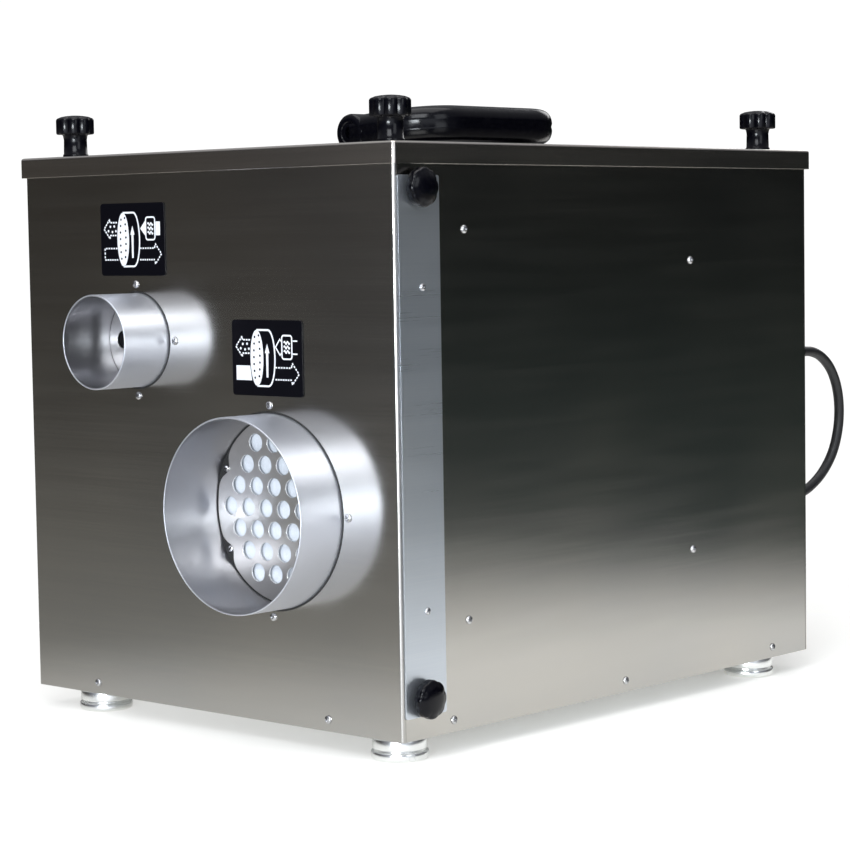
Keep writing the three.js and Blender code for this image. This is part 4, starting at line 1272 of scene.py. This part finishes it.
def humidity_dial(dial, face):
    profile = [(0, -18), (3, -18), (3, -0.02), (14.4, 0), (15, 0.6), (14.9, 1.6), (14.1, 10.4), (13.6, 11.6)]
    profile += [(12.5, 12.4), (0, 12.5)]
    bm = lathe(profile, (dial.x, face, dial.z), Y, 112, flutes(28, 0.45, 1.2, 10.6, 12))
    finish(bm, "dial_knob", BLACK_PLASTIC, "dial", ["humidity_dial"], sharp=46)
    pointer = box((dial.x - 0.8, face + 12.3, dial.z + 3), (dial.x + 0.8, face + 13.2, dial.z + 12.4))
    finish(pointer, "dial_pointer", WHITE_PRINT, "dial", bevel=0.25)


def indicator_lamp(place):
    bezel = lathe([(4, 0), (5.4, 0), (5.4, 1.2), (4.9, 1.8), (4.2, 1.8), (4, 1.5), (4, 0)], place, Y, 40)
    finish(bezel, "lamp_bezel", SCREW_STEEL, "case")
    lens = lathe([(0, 0), (3.9, 0), (3.9, 1.2), (3.5, 2.6), (2.4, 3.6), (1.2, 4.1), (0, 4.2)], place, Y, 32)
    finish(lens, "lamp_lens", LAMP_GREEN, "case", sharp=60)


def humidistat_socket(place):
    """A round screwed socket for an outside humidistat, with its cap on a ribbed ring."""
    profile = [(0, 0), (12.5, 0), (12.5, 1.4), (12, 1.9), (10.4, 2.0), (10.4, 8.6), (9.8, 9.4), (7.4, 9.6)]
    profile += [(7.0, 9.0), (0, 9.0)]
    bm = lathe(profile, place, Y, 96, flutes(24, 0.6, 2.2, 8.4, 9))
    finish(bm, "humidistat_socket", BLACK_PLASTIC, "case", sharp=46)


# ---- CAD nodes that stay visible ----
def dressed_nodes():
    fans = ("process_fan_housing", "regen_fan_housing", "process_impeller", "regen_impeller")
    for material, bevel, names in (
        (STEEL, 0.25, ("left_panel", "right_panel")),
        (GALVANISED, 0.2, ("filter_rail_lower", "filter_rail_upper", *fans)),
        (GALVANISED, 0.25, ("base_pan", "electrical_box", "rotor_cassette_front", "rotor_cassette_rear")),
        (GALVANISED, 0.25, ("heater_housing",)),
        (GALVANISED, 0.3, ("filter_frame", "rotor_hub", "rotor_rim")),
        (SCREW_STEEL, 0.3, ("rotor_shaft", "motor_pulley")),
        (MOTOR_PAINT, 1.0, ("gear_motor", "process_fan_motor", "regen_fan_motor")),
        (BLACK_PLASTIC, 0.4, ("main_switch_housing", "main_switch_rocker")),
        (BLACK_PLASTIC, 0.5, ("hour_meter",)),
        (BLACK_PLASTIC, 0.6, ("handle_bracket_front", "handle_bracket_rear")),
        (GASKET_FOAM, 0.5, ("lid_gasket",)),
        (HONEYCOMB, 0.3, ("rotor_medium",)),
        (BELT_RUBBER, 0.2, ("drive_belt",)),
        (HEATER, 0, ("heater_element",)),
    ):
        for name in names:
            dress(name, material, bevel)


# ---- Studio ----
def area_light(name, place, target, size, power, color=(1, 1, 1)):
    data = bpy.data.lights.new(name, "AREA")
    data.shape = "RECTANGLE"
    data.size, data.size_y = size
    data.energy = power
    data.color = color
    lamp = add_object(name, data)
    lamp.location = place
    lamp.rotation_mode = "QUATERNION"
    lamp.rotation_quaternion = (Vector(target) - Vector(place)).to_track_quat("-Z", "Y")


def direction_share(sky, direction, towards, start, end):
    """How far a direction points towards a level azimuth vector, stretched to 0..1."""
    dot = sky.add("ShaderNodeVectorMath", {0: direction}, operation="DOT_PRODUCT")
    dot.inputs[1].default_value = towards
    return sky.spread(dot.outputs["Value"], 0, 1, start, end)


def sky_ramp(sky, height, stops):
    """Colours by height of direction, from -1 straight down to 1 straight up."""
    ramp = sky.add("ShaderNodeValToRGB", {"Fac": sky.spread(height, 0, 1, -1, 1)})
    ramp.color_ramp.interpolation = "EASE"
    elements = ramp.color_ramp.elements
    elements[0].color, elements[1].color = (*stops[0][1], 1), (*stops[-1][1], 1)
    for level, color in stops[1:-1]:
        elements.new((level + 1) / 2).color = (*color, 1)
    return ramp.outputs["Color"]


def studio_world():
    """White behind the object. What the metal reflects is a dark room over a pale floor, darker on the
    right, with a soft ceiling and a paler wall behind the camera."""
    world = bpy.data.worlds.new("studio")
    bpy.context.scene.world = world
    world.use_nodes = True
    world.node_tree.nodes.clear()
    sky = Nodes(world.node_tree)
    direction = sky.add("ShaderNodeTexCoord").outputs["Generated"]
    height = sky.add("ShaderNodeSeparateXYZ", {"Vector": direction}).outputs["Z"]
    ceiling = [(0.14, (0.02, 0.02, 0.021)), (0.42, (0.26, 0.265, 0.28)), (1.0, (0.8, 0.81, 0.84))]
    dark = sky_ramp(sky, height, [
        (-1.0, (0.8, 0.78, 0.72)), (-0.2, (0.34, 0.325, 0.285)), (-0.14, (0.06, 0.078, 0.075)),
        (-0.08, (0.025, 0.036, 0.034)), (0.0, (0.008, 0.009, 0.009)), *ceiling,
    ])
    warm = sky_ramp(sky, height, [
        (-1.0, (0.7, 0.69, 0.65)), (-0.2, (0.54, 0.54, 0.51)), (-0.14, (0.24, 0.24, 0.23)),
        (-0.07, (0.065, 0.062, 0.055)), (0.0, (0.052, 0.047, 0.040)), *ceiling,
    ])
    to_rear, to_wall = (0.67, 0.74, 0), (0.67, -0.74, 0)
    room = sky.tint(direction_share(sky, direction, to_rear, -0.8, 0.4), warm, dark)
    room = sky.tint(direction_share(sky, direction, to_wall, -0.02, 1.0), room, (0.28, 0.295, 0.34))
    window = direction_share(sky, direction, to_wall, 0.72, 0.95)
    low_part = sky.spread(height, 1, 0, 0, 0.12)
    strength = sky.add("ShaderNodeMath", {0: window, 1: low_part}, operation="MULTIPLY").outputs["Value"]
    room = sky.tint(strength, room, (1.5, 1.58, 1.75))
    lit = sky.add("ShaderNodeBackground", {"Color": room})
    seen = sky.add("ShaderNodeBackground", Color=(1.05, 1.05, 1.05, 1))
    camera_ray = sky.add("ShaderNodeLightPath").outputs["Is Camera Ray"]
    sky.add("ShaderNodeOutputWorld", {"Surface": sky.blend(camera_ray, lit, seen)}, is_active_output=True)


def studio_floor():
    """A pale, faintly glowing floor that fades out into the white surroundings."""
    bm = bmesh.new()
    bmesh.ops.create_circle(bm, cap_ends=True, segments=96, radius=1.6)
    floor = add_object("floor", to_mesh(bm, "floor"))
    floor.location = (0.2, 0.2, -0.0002)
    glow = {"Emission_Color": (1.0, 0.985, 0.94, 1), "Emission_Strength": 0.25}
    paint = Surface("floor_paint", (0.86, 0.855, 0.83), 0.0, 0.6, **glow)
    here = paint.add("ShaderNodeTexCoord").outputs["Object"]
    distance = paint.add("ShaderNodeVectorMath", {0: here}, operation="LENGTH").outputs["Value"]
    far = paint.spread(distance, 0, 1, 0.35, 1.0)
    fading = paint.blend(far, paint.shader, paint.add("ShaderNodeBsdfTransparent"))
    paint.tree.links.new(fading, paint.tree.nodes["Material Output"].inputs["Surface"])
    floor.data.materials.append(paint.material)


def studio():
    bpy.context.scene.view_settings.view_transform = "Standard"
    studio_world()
    studio_floor()
    area_light("overhead", (0.1, -0.2, 2.4), (0, 0, 0.2), (2.0, 2.0), 27)
    area_light("right_softbox", (2.3, -0.5, 1.2), (0, 0, 0.25), (1.0, 1.4), 9, (0.9, 0.95, 1.0))
    area_light("front_softbox", (1.2, -2.0, 1.9), (0, -0.3, 0.25), (1.4, 1.1), 36, (0.94, 0.97, 1.0))
    area_light("front_lamp", (1.15, -2.35, 0.3), (0, 0, 0.45), (0.9, 0.3), 40, (0.9, 0.96, 1.0))
    area_light("rear_softbox", (-0.6, 2.5, 1.5), (0, 0.2, 0.25), (1.0, 1.0), 7)


photo_camera()
mains_cord()
case_panels()
lid_cover()
all_screws()
for duct_spec in (PROCESS_INLET, REGEN_INLET, DRY_OUTLET, WET_OUTLET):
    duct_spigot(duct_spec)
small_inlet_screen()
perforated_plate()
all_knobs()
carry_handle()
all_feet()
hatch_strip()
fleece_pad()
all_pictograms()
rear_controls()
dressed_nodes()
studio()
